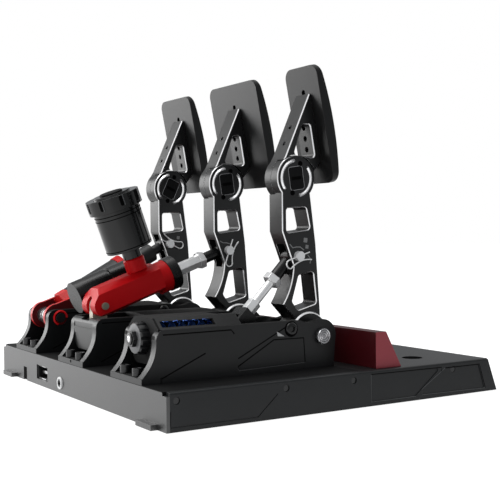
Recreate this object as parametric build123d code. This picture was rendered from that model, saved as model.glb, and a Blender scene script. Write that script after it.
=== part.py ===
from build123d import *
import os
from math import atan2, cos, degrees, hypot, pi, radians, sin, sqrt, tan

# Three-pedal set for a racing simulator: clutch, brake and throttle on one base.
# Millimetres. X is the driver's right, Y points away from the driver to the nose
# of the base, Z is up. The origin lies on the floor under the middle of the set.
# Side outlines are drawn as (setback, height): setback is measured from the nose
# wall towards the driver, height from the floor.

# Base
base_width = 400.0
base_length = 359.0
base_height = 32.0
heel_lean = 11.8
ear_reach = 6.0
ear_width = 28.0
ear_height = 4.4
ear_inset = 16.0
foot_proud = 0.6
foot_sink = 1.4
foot_pad_radius = 12.0
foot_pad_inset = 50.0
foot_pad_nose = 40.0
foot_pad_middle = 190.0
foot_pad_heel_inset = 39.0
sheet = 3.0
cover_thickness = 7.0
cover_seam = 195.5
cover_round = 2.0
cover_panel_depth = 0.6
cover_line = 0.9
front_line_shares = ((0.018, 0.52), (0.016, 0.13), (0.43, 0.12), (0.53, 0.66))
heel_panel_shares = (
    ((0.05, 0.9), (0.05, 0.12), (0.39, 0.12), (0.6, 0.88)),
    ((0.63, 0.85), (0.44, 0.3), (0.44, 0.14), (0.97, 0.1), (0.92, 0.85)),
)
heel_stop_setback = 214.5
heel_stop_top = 65.0
heel_stop_top_depth = 12.2
heel_stop_depth = 29.7
cover_screw_radius = 3.0
cover_screw_sink = 1.0
cover_screw_seat = 3.0
cover_screw_length = 12.0
cover_screw_nose_inset = 9.0
cover_screw_middle = 112.6
cover_screw_seam_inset = 11.5
cover_screw_heel_inset = 57.0
cover_screw_height = 25.2

# Mounting holes to the rig, with the access holes above them
rig_hole_radius = 4.25
rig_heel_side_inset = 46.3
rig_nose_spacing = 125.0
rig_heel_inset = 67.0
rig_nose_setback = 60.0
access_hole_radius = 10.0

# Connectors in the nose wall and the board behind them
port_x = 77.0
port_width = 31.0
port_height = 14.4
port_z = 14.0
port_depth = 12.0
port_wall = 1.5
round_port_x = 26.0
round_port_z = 10.5
round_port_radius = 6.0
round_port_bore = 4.0
round_port_depth = 12.0
cable_slot_x = 128.0
cable_slot_width = 10.0
cable_slot_height = 14.0
board_width = 90.0
board_depth = 32.0
board_setback = 31.0
board_thickness = 1.6
board_z = 8.4
standoff_radius = 3.0

# Pedal layout
pedal_pitch = 125.0
pivot_setback = 181.5
pivot_height = 60.6

# Pedal frames
wall_inner = 22.5
near_wall_outer = 28.0
far_wall_outer = 30.5
side_cover_outer = 31.0
flange_half = 31.0
flange_thickness = 5.0
frame_length = 195.0
frame_top = 76.0
frame_nose = 13.7
frame_nose_round = 8.0
frame_toe = 0.5
frame_toe_height = 66.0
frame_end_radius = 16.0
notch_radius = 24.4
notch_setback = 169.2
notch_depth = 2.4
nose_block_low = 45.0
nose_block_thickness = 5.0
nose_block_round = 10.0
nose_block_recess = 0.5
nose_notch_half = 9.0
nose_notch_depth = 3.0
roof_thickness = 4.0
roof_bow = 1.5
brake_roof_start = 68.0
throttle_roof_start = 100.0
roof_end = 150.0
groove_width = 1.0
groove_depth = 0.5
panel_size = 100.0
panel_shares = ((0.922, 0.401), (1.293, 0.607), (1.614, 0.603), (1.628, 0.387), (0.932, 0.37))
crease_shares = ((0.185, 0.36), (0.6, 0.54))
slash_shares = ((0.923, 0.469), (1.47, 0.735))
ledge_shares = ((0.2, 0.72), (0.856, 0.722), (0.885, 0.686))
lock_screw_share = (1.495, 0.687)
bolt_radius = 2.5
bolt_head_radius = 4.6
bolt_head_height = 7.0
bolt_socket_radius = 2.4
bolt_socket_depth = 4.0
bolt_x = 12.0
bolt_nose_setback = 5.6
bolt_rear_x = 16.0
bolt_rear_setback = 140.0
sensor_size = 12.0
sensor_thickness = 3.5
sensor_setback = 163.0
sensor_height = 50.0

# Pivot axles
axle_radius = 5.0
axle_fit = 0.04
axle_head_radius = 7.0
axle_head_height = 3.2
axle_nut_height = 4.0
spacer_radius = 9.0

# Pedal arms
arm_thickness = 22.0
arm_height = 144.5
arm_lean = 12.8
arm_nose_shares = ((-0.1, 0.096), (-0.197, 0.2))
arm_curve_shares = ((-0.197, 0.2), (-0.138, 0.315), (-0.114, 0.445))
arm_top_shares = ((-0.114, 0.445), (-0.199, 0.662), (-0.199, 0.951), (0.014, 0.951))
arm_heel_shares = ((0.014, 0.951), (0.062, 0.581), (0.092, 0.169), (0.095, 0.097), (-0.1, 0.096))
high_window_shares = ((-0.166, 0.809), (-0.014, 0.814), (0.017, 0.674), (-0.165, 0.653))
low_window_shares = ((-0.074, 0.381), (0.038, 0.401), (0.062, 0.195), (-0.082, 0.158), (-0.126, 0.214))
window_round = 3.0
foot_radius = 20.8
foot_boss = 1.6
foot_boss_chamfer = 1.5
cut_edge = 0.9
hub_radius = 21.0
hub_clearance = 0.6
lap_gap = 0.4
spigot_radius = 8.0
spigot_fit = 0.05
hub_slot_radius = 16.1
hub_slot_width = 2.5
hub_slot_depth = 1.0
hub_slot_starts = (100.0, -79.0)
hub_slot_sweep = 117.0
hub_pocket_width = 15.0
hub_pocket_height = 20.0
hub_pocket_depth = 1.6
hub_pocket_tilts = {"clutch": 8.0, "brake": 8.0, "throttle": -25.0}
hub_screw_circle = 14.2
hub_screw_angles = (72.0, 252.0)
hub_screw_radius = 2.0
hub_screw_fit = 0.05
hub_screw_head_radius = 3.6
hub_screw_head_height = 3.2
tilt_slot_width = 4.8
tilt_range = 10.0
slot_width = 12.4
slot_below = 17.0
slot_above = 11.0
slot_behind = 11.0
clevis_pin_radius = 4.5
clevis_pin_proud = 4.5
clip_wire = 0.65
clip_loop = 4.0
clip_length = 24.0
clip_spread = 3.4
clip_turns = {"clutch": -17.0, "brake": -70.0, "throttle": -155.0}

# Upper arms
upper_reach = 78.0
upper_nose_shares = ((-0.235, 0.12), (-0.15, 0.255), (0.191, 1.005))
upper_low_share = 0.217
upper_hub_share = (0.24, 0.06)
upper_window_shares = ((0.1, 0.64), (0.203, 0.64), (0.272, 0.245), (-0.032, 0.277))
strip_hole_shares = ((0.005, 0.613), (-0.079, 0.414))
strip_hole_radius = 2.2
strip_hole_depth = 9.0
wall_hole_shares = (0.627, 0.499, 0.371)
wall_hole_radius = 2.7
wall_hole_depth = 12.0

# Face plates
face_tilt = 10.85
face_height = 110.0
face_top_thickness = 5.0
face_middle_thickness = 10.4
face_bottom_thickness = 6.0
face_corner = 10.0
face_lead = 11.9
face_rise = 103.9
face_widths = {"clutch": 51.0, "brake": 93.0, "throttle": 70.0}
face_shifts = {"clutch": 0.0, "brake": 0.0, "throttle": 2.0}
face_hole_drop = 24.0
face_hole_radius = 2.6
face_hole_depth = 3.0

# Pins where the linkages meet the arms, forward of and above the foot pivot
link_pin_forward = {"clutch": 11.5, "brake": 12.0, "throttle": 15.8}
link_pin_rise = {"clutch": 72.8, "brake": 76.4, "throttle": 82.0}
link_pin_play = 0.75
eye_radius = 8.5
eye_width = 11.6
eye_neck_radius = 5.0

# Clutch spring pack
guide_height = 67.0
guide_radius = 4.0
guide_fit = 0.06
guide_nose = 3.7
nut_flats = 13.0
nut_nose = 4.4
nut_heel = 8.2
knob_nose = 8.5
knob_heel = 17.5
knob_radius = 13.8
hood_top = 84.8
hood_flat_half = 17.0
hood_inner_half = 15.6
hood_wall = 2.2
hood_end = 98.0
link_slot_start = 83.0
link_slot_half = 10.6
window_start = 22.0
window_end = 73.0
window_low = 77.3
window_high = 82.2
carriage_front = 92.0
carriage_plate = 6.0
carriage_low = 50.0
carriage_high = 75.0
carriage_setback = 108.4
carriage_pin_rise = 3.6
carriage_lug_radius = 7.5
carriage_lug_half = 4.9
carriage_pin_radius = 3.5
carriage_pin_half = 9.6
spring_radius = 15.0
spring_wire = 1.8
spring_coils = 8
clevis_ear = 4.0
clevis_bridge_start = 9.0
clevis_end = 18.0
link_hex_end = 30.0
link_hex_flats = 11.0
link_rod_radius = 4.0
link_rod_end = 54.0
link_nut_flats = 15.0
link_nut_end = 60.5
rod_end_shank = 5.6

# Brake cylinder
cylinder_setback = 29.5
cylinder_height = 86.6
cylinder_half = 16.0
cylinder_flat_half = 8.0
cylinder_over = 16.7
cylinder_shoulder = 11.9
cylinder_under = 11.4
cylinder_under_shoulder = 7.4
cylinder_end = 67.0
cylinder_nose_radius = 10.2
cylinder_bore_radius = 12.0
cylinder_bore_start = 30.0
collar_radius = 16.0
collar_end = 78.0
gland_radius = 17.0
gland_end = 88.0
gland_bore = 8.0
brake_pin_radius = 3.5
brake_pin_half = 18.6
brake_fork_half = 4.6
brake_fork_end = 14.0
brake_fork_top = 6.2
lug_half = 4.0
lug_radius = 7.5
lug_foot_half = 10.0
lug_foot_length = 26.0
lug_foot_thickness = 4.0
bridge_low = 60.0
bridge_top = 66.0
bridge_end = 62.0
lug_screw_radius = 2.4
lug_screw_inset = 3.4
lug_screw_top = 73.4
piston_start = 50.0
piston_end = 58.0
piston_fit = 0.06
push_rod_radius = 5.0
push_hex_start = 76.0
push_hex_flats = 12.0
push_nut_start = 117.0
push_nut_flats = 16.0
push_nut_end = 123.0
reservoir_station = 50.3
fitting_radius = 10.5
fitting_top = 30.0
neck_radius = 9.3
reservoir_low = 40.0
reservoir_radius = 23.0
reservoir_wall = 2.0
reservoir_top = 86.0
cap_low = 81.0
cap_radius = 26.5
cap_top = 95.0
cap_step = 8.0
cap_step_height = 1.5
canister_x = 36.0
canister_radius = 16.0
canister_rise = 7.9
canister_start = -7.0
canister_end = 66.0
canister_groove = 30.0
canister_groove_width = 3.0
canister_groove_depth = 1.5
bracket_stations = (16.0, 52.0)
bracket_length = 9.0
bracket_height = 10.0

# Throttle strut
strut_setback = 27.0
strut_height = 67.6
strut_eye_radius = 14.0
strut_arm_outer = 22.1
strut_arm_thickness = 5.4
strut_arm_root = 9.0
strut_boss_radius = 7.4
strut_pin_head_radius = 6.5
strut_pin_proud = 1.5
strut_bush_radius = 8.5
strut_block_radius = 17.4
block_sides = 8
strut_block_start = 17.0
strut_block_end = 28.0
barrel_radius = 16.8
barrel_end = 92.0
barrel_bore = 11.2
collar_ring_radius = 17.6
collar_ring_end = 100.0
strut_rod_radius = 10.5
strut_rod_fit = 0.08
strut_rod_start = 58.0
strut_rod_end = 138.0
strut_neck_radius = 5.6

# General clearances and overruns
gap = 0.3
overrun = 5.0

nose_y = (base_length + ear_reach) / 2 - ear_reach
pedal_x = {"clutch": -pedal_pitch, "brake": 0.0, "throttle": pedal_pitch}
pan_half = base_width / 2 - cover_thickness
foot_pad_x = base_width / 2 - foot_pad_inset
foot_pad_setbacks = (foot_pad_nose, foot_pad_middle, base_length - foot_pad_heel_inset)
rig_heel_x = base_width / 2 - rig_heel_side_inset
rig_heel_setback = base_length - rig_heel_inset
cover_screw_setbacks = (
    cover_screw_nose_inset,
    cover_screw_middle,
    cover_seam - cover_screw_seam_inset,
    base_length - cover_screw_heel_inset,
)
deck_low = base_height - sheet
flange_top = base_height + flange_thickness
hub_setback = pivot_setback - arm_lean
hub_height = pivot_height + arm_height
face_top_setback = hub_setback + face_lead
face_top_height = hub_height + face_rise
tilt = radians(face_tilt)
pin_setback = {name: pivot_setback - value for name, value in link_pin_forward.items()}
pin_height = {name: pivot_height + value for name, value in link_pin_rise.items()}
knob_back = knob_heel + nose_block_thickness
carriage_pin_height = guide_height + carriage_pin_rise


def side_plane(x):
    """Plane of a side view, whose sketch points are (setback, height)."""
    return Plane(origin=(x, nose_y, 0), x_dir=(0, -1, 0), z_dir=(-1, 0, 0))


def slab(face, start, end):
    """A side-view face extruded between two X positions."""
    return extrude(side_plane(end) * face, amount=end - start)


def place(x, setback, height):
    """A point given by its setback from the nose wall."""
    return Vector(x, nose_y - setback, height)


def cross_rod(start, end, setback, height, radius):
    """A cylinder along X between two positions."""
    spot = Location(place((start + end) / 2, setback, height), (0, 90, 0))
    return spot * Cylinder(radius, end - start)


def cuboid(x, setback, height):
    """A box given by its ranges of X, setback and height."""
    centre = place(sum(x) / 2, sum(setback) / 2, sum(height) / 2)
    return Location(centre) * Box(x[1] - x[0], setback[1] - setback[0], height[1] - height[0])


def post(x, setback, low, high, radius):
    """An upright cylinder."""
    return Location(place(x, setback, (low + high) / 2)) * Cylinder(radius, high - low)


def level_rod(x, height, front, back, radius):
    """A cylinder along Y between two setbacks."""
    return Location(place(x, (front + back) / 2, height), (90, 0, 0)) * Cylinder(radius, back - front)


def axis_plane(x, start, end):
    """Plane at start, normal to the line from start to end, with its Y axis up."""
    angle = atan2(end[1] - start[1], end[0] - start[0])
    return Plane(origin=place(x, *start), x_dir=(1, 0, 0), z_dir=(0, -cos(angle), sin(angle)))


def on_axis(plane, radius, start, end):
    """A cylinder along the normal of a plane, between two stations."""
    return plane * Location((0, 0, (start + end) / 2)) * Cylinder(radius, end - start)


def prism(plane, outline, start, end):
    """An outline extruded along the normal of a plane, between two stations."""
    return extrude(plane.offset(start) * outline, amount=end - start)


def hexagon(across_flats):
    """A hexagon by its width across flats."""
    return RegularPolygon(across_flats / 2, 6, major_radius=False)


def outline_face(points):
    """A face inside a closed run of straight edges."""
    return make_face(Polyline(*points, close=True))


def rounded_face(points, radius):
    """A straight-edged face with rounded corners."""
    face = outline_face(points)
    return fillet(face.vertices(), radius)


def spread(shares, size, origin=(0, 0)):
    """Points worked out from shares of one size, about an origin."""
    return [(origin[0] + across * size, origin[1] + up * size) for across, up in shares]


def groove_bar(start, end, width):
    """A round-ended bar from one point of a side view to another."""
    length = hypot(end[0] - start[0], end[1] - start[1])
    angle = degrees(atan2(end[1] - start[1], end[0] - start[0]))
    centre = ((start[0] + end[0]) / 2, (start[1] + end[1]) / 2)
    return Location((*centre, 0), (0, 0, angle)) * SlotCenterToCenter(length, width)


def back_at(height):
    """Setback of the back of a face plate at a height."""
    return face_top_setback + (face_top_height - height) * tan(tilt)


def face_point(up_share, thickness):
    """Point of a face plate's side outline, from its share of the height."""
    down = (1 - up_share) * face_height
    across = face_top_setback + down * sin(tilt) + thickness * cos(tilt)
    return (across, face_top_height - down * cos(tilt) + thickness * sin(tilt))


# Base
heel_top = base_length - heel_lean


def heel_at(height):
    """Setback of the slanted heel face at a height."""
    return base_length - heel_lean * (height - foot_proud) / (base_height - foot_proud)


pan_outline = [(0, foot_proud), (0, deck_low), (heel_at(deck_low), deck_low), (base_length, foot_proud)]
pan_floor = foot_proud + sheet
hollow_outline = [
    (sheet, pan_floor),
    (sheet, base_height),
    (heel_at(base_height) - sheet, base_height),
    (heel_at(pan_floor) - sheet, pan_floor),
]
tray = slab(outline_face(pan_outline), -pan_half, pan_half)
tray -= slab(outline_face(hollow_outline), sheet - pan_half, pan_half - sheet)
tray += cuboid((-base_width / 2, base_width / 2), (0, sheet), (foot_proud, deck_low))
for side in (-1, 1):
    ear_out = side * (base_width / 2 - ear_inset)
    ear_x = sorted((ear_out, ear_out - side * ear_width))
    tray += cuboid(ear_x, (-ear_reach, sheet), (foot_proud, foot_proud + ear_height))
for side in (-1, 1):
    for setback in foot_pad_setbacks:
        tray -= post(side * foot_pad_x, setback, 0, foot_proud + foot_sink, foot_pad_radius)
for across in (-1, 1):
    for along in (-1, 1):
        spot_x = (port_x + round_port_x) / 2 + across * (board_width / 2 - standoff_radius * 2)
        spot_s = board_setback + along * (board_depth / 2 - standoff_radius * 2)
        tray += post(spot_x, spot_s, foot_proud, board_z, standoff_radius)
rig_holes = [(side * rig_heel_x, rig_heel_setback) for side in (-1, 1)]
rig_holes += [(side * rig_nose_spacing / 2, rig_nose_setback) for side in (-1, 1)]
for spot in rig_holes:
    tray -= post(*spot, 0, pan_floor + overrun, rig_hole_radius)
port_span = (port_x - port_width / 2, port_x + port_width / 2)
port_rise = (port_z - port_height / 2, port_z + port_height / 2)
tray -= cuboid(port_span, (-overrun, sheet + overrun), port_rise)
tray -= level_rod(round_port_x, round_port_z, -overrun, sheet + overrun, round_port_radius)
slot_span = (cable_slot_x - cable_slot_width / 2, cable_slot_x + cable_slot_width / 2)
tray -= cuboid(slot_span, (-overrun, sheet + overrun), (0, foot_proud + cable_slot_height))

front_deck = cuboid((-pan_half, pan_half), (0, cover_seam), (deck_low, base_height))
heel_outline = [
    (cover_seam, deck_low),
    (cover_seam, base_height),
    (heel_top, base_height),
    (heel_at(deck_low), deck_low),
]
heel_plate = slab(outline_face(heel_outline), -pan_half, pan_half)
for spot in rig_holes:
    access = post(*spot, deck_low - overrun, base_height + overrun, access_hole_radius)
    front_deck -= access
    heel_plate -= access

stop_heel = heel_stop_setback + heel_stop_depth
stop_rise = heel_stop_top - base_height
stop_run = heel_stop_depth - heel_stop_top_depth
slope_wall = sheet * hypot(stop_run, stop_rise) / stop_rise
stop_outline = [
    (heel_stop_setback, base_height),
    (heel_stop_setback, heel_stop_top),
    (heel_stop_setback + heel_stop_top_depth, heel_stop_top),
    (stop_heel, base_height),
]
stop_inside = [
    (heel_stop_setback + sheet, base_height),
    (heel_stop_setback + sheet, heel_stop_top - sheet),
    (stop_heel - slope_wall - stop_run * (stop_rise - sheet) / stop_rise, heel_stop_top - sheet),
    (stop_heel - slope_wall, base_height),
]
heel_stop = slab(outline_face(stop_outline), -pan_half, pan_half)
heel_stop -= slab(outline_face(stop_inside), sheet - pan_half, pan_half - sheet)

front_cover_outline = [
    (sheet, foot_proud),
    (sheet, base_height),
    (cover_seam, base_height),
    (cover_seam, foot_proud),
]
heel_cover_outline = [
    (cover_seam, foot_proud),
    (cover_seam, base_height),
    (heel_top, base_height),
    (base_length, foot_proud),
]
cover_rise = base_height - foot_proud


def cover_spots(shares, start, size):
    """Points on a side cover, from shares of its length and of its height."""
    return [(start + along * size, foot_proud + up * cover_rise) for along, up in shares]


covers = {}
for side, side_name in ((-1, "left"), (1, "right")):
    inner, outer = sorted((side * pan_half, side * base_width / 2))
    side_cover = slab(outline_face(front_cover_outline), inner, outer)
    heel_cover = slab(outline_face(heel_cover_outline), inner, outer)
    skin = side * base_width / 2
    depth = sorted((skin - side * cover_panel_depth, skin + side * overrun))
    for shares in heel_panel_shares:
        panel = outline_face(cover_spots(shares, cover_seam, heel_top - cover_seam))
        heel_cover -= slab(fillet(panel.vertices(), cover_round), *depth)
    lines = cover_spots(front_line_shares, 0, cover_seam)
    for start, end in zip(lines, lines[1:]):
        side_cover -= slab(groove_bar(start, end, cover_line), *depth)
    for shell_name, shell in (("side_cover", side_cover), ("heel_cover", heel_cover)):
        edges = [
            e
            for e in shell.edges().filter_by(Axis.Y)
            if abs(e.center().X - skin) < gap and abs(e.center().Z - base_height) < gap
        ]
        shell = fillet(edges, cover_round)
        covers[shell_name + "_" + side_name] = shell

feet = []
for side in (-1, 1):
    for setback in foot_pad_setbacks:
        feet.append(post(side * foot_pad_x, setback, 0, foot_proud + foot_sink, foot_pad_radius))

cover_screws = []
for side, side_name in ((-1, "left"), (1, "right")):
    skin = side * base_width / 2
    for setback in cover_screw_setbacks:
        ends = sorted((skin - side * cover_screw_length, skin))
        shank = cross_rod(*ends, setback, cover_screw_height, cover_screw_radius / 2)
        head_ends = sorted((skin - side * cover_screw_sink, skin - side * cover_screw_seat))
        head = cross_rod(*head_ends, setback, cover_screw_height, cover_screw_radius)
        shank &= cuboid(sorted((0, skin - side * cover_screw_sink)), (0, base_length), (0, base_height))
        cover_screws.append(shank + head)
        seat_ends = sorted((skin - side * cover_screw_seat, skin + side * overrun))
        seat = cross_rod(*seat_ends, setback, cover_screw_height, cover_screw_radius)
        for key in ("side_cover_" + side_name, "heel_cover_" + side_name):
            covers[key] -= shank + seat
        tray -= shank

board_x = (port_x + round_port_x) / 2
board = cuboid(
    (board_x - board_width / 2, board_x + board_width / 2),
    (board_setback - board_depth / 2, board_setback + board_depth / 2),
    (board_z, board_z + board_thickness),
)
port_shell = cuboid(port_span, (port_wall, port_wall + port_depth), port_rise)
port_shell -= cuboid(
    (port_span[0] + port_wall, port_span[1] - port_wall),
    (0, port_depth),
    (port_rise[0] + port_wall, port_rise[1] - port_wall),
)
port_shell += cuboid(
    (port_span[0] + port_wall * 3, port_span[1] - port_wall * 3),
    (port_wall * 3, port_depth + port_wall),
    (port_z - port_wall, port_z + port_wall),
)
round_port = level_rod(round_port_x, round_port_z, -port_wall, round_port_depth, round_port_radius)
round_port -= level_rod(round_port_x, round_port_z, -overrun, round_port_depth - port_wall, round_port_bore)
board -= round_port
board -= level_rod(round_port_x, round_port_z, -overrun, round_port_depth, round_port_radius)


# Pedal frames and their side covers
def wall_face():
    """Side outline of a frame wall."""
    toe = (frame_toe, flange_top)
    shin = (frame_nose, frame_toe_height)
    flare = Spline(toe, shin, tangents=[(1, 1), (0, 1)])
    corner_low = (frame_nose, frame_top - frame_nose_round)
    corner_high = (frame_nose + frame_nose_round, frame_top)
    middle = frame_nose_round * (1 - sqrt(2) / 2)
    corner = ThreePointArc(corner_low, (frame_nose + middle, frame_top - middle), corner_high)
    end_top = (pivot_setback, frame_top)
    end_side = (pivot_setback + frame_end_radius, pivot_height)
    reach = frame_end_radius * sqrt(2) / 2
    end_arc = ThreePointArc(end_top, (pivot_setback + reach, pivot_height + reach), end_side)
    heel_low = (frame_length, flange_top)
    edges = [
        flare,
        Line(shin, corner_low),
        corner,
        Line(corner_high, end_top),
        end_arc,
        Line(end_side, heel_low),
        Line(heel_low, toe),
    ]
    return make_face(edges)


def notched(solid, x):
    """A frame wall or cover with the hollow under the arm's foot."""
    centre = frame_top - notch_depth + notch_radius
    ends = (x - flange_half - overrun, x + flange_half + overrun)
    return solid - cross_rod(*ends, notch_setback, centre, notch_radius)


def nose_block(x, front):
    """A block between the walls at the nose, rounded at its foot."""
    span = wall_inner * 2
    middle = (nose_block_low + frame_top) / 2
    outline = RectangleRounded(span, frame_top - nose_block_low, nose_block_round)
    plane = Plane(origin=place(x, front, middle), x_dir=(1, 0, 0), z_dir=(0, -1, 0))
    body = extrude(plane * outline, amount=nose_block_thickness)
    upper = (middle, frame_top)
    body += cuboid((x - wall_inner, x + wall_inner), (front, front + nose_block_thickness), upper)
    return body & slab(wall_face(), x - wall_inner, x + wall_inner)


def bowed_roof(x, start, end):
    """A slightly bowed roof between the walls."""
    low = frame_top - roof_thickness
    across = near_wall_outer
    edges = [
        ThreePointArc((-across, frame_top), (0, frame_top + roof_bow), (across, frame_top)),
        Line((across, frame_top), (across, low)),
        Line((across, low), (-across, low)),
        Line((-across, low), (-across, frame_top)),
    ]
    plane = Plane(origin=place(x, start, 0), x_dir=(1, 0, 0), z_dir=(0, -1, 0))
    return extrude(plane * make_face(edges), amount=end - start)


def make_frame(name):
    """Foot flange and two walls of one pedal."""
    x = pedal_x[name]
    frame = cuboid((x - flange_half, x + flange_half), (0, frame_length), (base_height, flange_top))
    frame += slab(wall_face(), x - near_wall_outer, x - wall_inner)
    frame += slab(wall_face(), x + wall_inner, x + far_wall_outer)
    if name == "clutch":
        frame += nose_block(x, knob_heel)
        rise = hood_wall * sqrt(2)
        hood_outer = [
            (-near_wall_outer, frame_top - roof_thickness),
            (-near_wall_outer, frame_top),
            (-hood_flat_half, hood_top),
            (hood_flat_half, hood_top),
            (near_wall_outer, frame_top),
            (near_wall_outer, frame_top - roof_thickness),
        ]
        hood_inner = [
            (-wall_inner, frame_top - roof_thickness),
            (-wall_inner, frame_top),
            (-hood_inner_half, hood_top - hood_wall),
            (hood_inner_half, hood_top - hood_wall),
            (wall_inner, frame_top),
            (wall_inner, frame_top - roof_thickness),
        ]
        start = frame_nose + rise
        plane = Plane(origin=place(x, start, 0), x_dir=(1, 0, 0), z_dir=(0, -1, 0))
        frame += extrude(plane * outline_face(hood_outer), amount=hood_end - start)
        plane = Plane(origin=place(x, knob_back, 0), x_dir=(1, 0, 0), z_dir=(0, -1, 0))
        frame -= extrude(plane * outline_face(hood_inner), amount=hood_end + overrun - knob_back)
        for side in (-1, 1):
            ends = sorted((x + side * spring_radius, x + side * far_wall_outer))
            frame -= cuboid(ends, (window_start, window_end), (window_low, window_high))
        link_gap = (x - link_slot_half, x + link_slot_half)
        frame -= cuboid(link_gap, (link_slot_start, hood_end + overrun), (frame_top, hood_top + overrun))
        frame -= level_rod(x, guide_height, 0, hood_end, guide_radius + guide_fit)
        frame -= level_rod(x, guide_height, 0, knob_heel, knob_radius + gap)
    if name == "brake":
        frame += nose_block(x, frame_nose + nose_block_recess)
        notch_x = (x - nose_notch_half, x + nose_notch_half)
        notch_z = (frame_top - nose_notch_depth, frame_top + overrun)
        frame -= cuboid(notch_x, (0, bridge_end), notch_z)
        bridge = (frame_nose, bridge_end)
        frame += cuboid((x - wall_inner, x + wall_inner), bridge, (bridge_low, bridge_top))
        frame += bowed_roof(x, brake_roof_start, roof_end)
    if name == "throttle":
        frame += bowed_roof(x, throttle_roof_start, roof_end)
        frame -= cross_rod(x, x + flange_half, strut_setback, strut_height, axle_radius + axle_fit)
        frame -= cross_rod(x - flange_half, x, strut_setback, strut_height, strut_boss_radius + axle_fit)
    frame = notched(frame, x)
    ends = (x - flange_half - overrun, x + flange_half + overrun)
    return frame - cross_rod(*ends, pivot_setback, pivot_height, axle_radius + axle_fit)


def groove(points, x):
    """A shallow groove along a run of points on a cover's outer face."""
    cut = None
    for start, end in zip(points, points[1:]):
        piece = slab(groove_bar(start, end, groove_width), x - overrun, x + groove_depth)
        cut = piece if cut is None else cut + piece
    return cut


def make_side_cover(name):
    """Cover on the near side of a frame."""
    x = pedal_x[name]
    skin = x - side_cover_outer
    cover = notched(slab(wall_face(), skin, x - near_wall_outer), x)
    ends = (skin - overrun, x)
    cover -= cross_rod(*ends, pivot_setback, pivot_height, axle_radius + axle_fit)
    if name == "throttle":
        cover -= cross_rod(*ends, strut_setback, strut_height, strut_boss_radius + axle_fit)
    for run in (crease_shares, slash_shares, ledge_shares, panel_shares + panel_shares[:1]):
        cover -= groove(spread(run, panel_size), skin)
    spot = spread([lock_screw_share], panel_size)[0]
    return cover - cross_rod(*ends, *spot, bolt_head_radius)


frames = {name: make_frame(name) for name in pedal_x}
side_covers = {name: make_side_cover(name) for name in pedal_x}

frame_bolts = []
for name, x in pedal_x.items():
    spots = [(x - bolt_x, bolt_nose_setback), (x + bolt_x, bolt_nose_setback)]
    spots += [(x - bolt_rear_x, bolt_rear_setback), (x + bolt_rear_x, bolt_rear_setback)]
    for spot in spots:
        shank = post(*spot, deck_low, flange_top, bolt_radius)
        head = post(*spot, flange_top, flange_top + bolt_head_height, bolt_head_radius)
        head_top = flange_top + bolt_head_height
        head -= post(*spot, head_top - bolt_socket_depth, head_top + overrun, bolt_socket_radius)
        frame_bolts.append(shank + head)
        frames[name] -= shank
        front_deck -= shank

lock_screws = []
for name, x in pedal_x.items():
    spot = spread([lock_screw_share], panel_size)[0]
    skin = x - side_cover_outer
    screw = cross_rod(skin - gap, x - near_wall_outer, *spot, bolt_head_radius)
    screw -= cross_rod(skin - overrun, x - near_wall_outer - groove_depth, *spot, bolt_socket_radius)
    lock_screws.append(screw)

axles = []
spacers = []
sensors = []
for name, x in pedal_x.items():
    skin = x - side_cover_outer
    far = x + far_wall_outer
    axle = cross_rod(skin, far, pivot_setback, pivot_height, axle_radius)
    axle += cross_rod(skin - axle_head_height, skin, pivot_setback, pivot_height, axle_head_radius)
    axle += cross_rod(far, far + axle_nut_height, pivot_setback, pivot_height, axle_head_radius)
    axles.append(axle)
    for side in (-1, 1):
        ends = sorted((x + side * (arm_thickness / 2 + foot_boss + gap), x + side * wall_inner))
        ring = cross_rod(*ends, pivot_setback, pivot_height, spacer_radius)
        ring -= cross_rod(ends[0] - gap, ends[1] + gap, pivot_setback, pivot_height, axle_radius + axle_fit)
        spacers.append(ring)
    sensor_x = (x + wall_inner - sensor_thickness, x + wall_inner)
    sensor_s = (sensor_setback - sensor_size / 2, sensor_setback + sensor_size / 2)
    sensor_z = (sensor_height - sensor_size / 2, sensor_height + sensor_size / 2)
    sensors.append(cuboid(sensor_x, sensor_s, sensor_z))


# Pedal arms
def arm_point(share):
    """Point of the arm outline from its shares."""
    return spread([share], arm_height, (pivot_setback, pivot_height))[0]


def cut_rims(solid, planes):
    """A solid with the rims of its two side faces cut bright."""
    rims = []
    for face in solid.faces().filter_by(Axis.X):
        if min(abs(face.center().X - place) for place in planes) < gap:
            rims += face.edges()
    return chamfer(rims, cut_edge)


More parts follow.
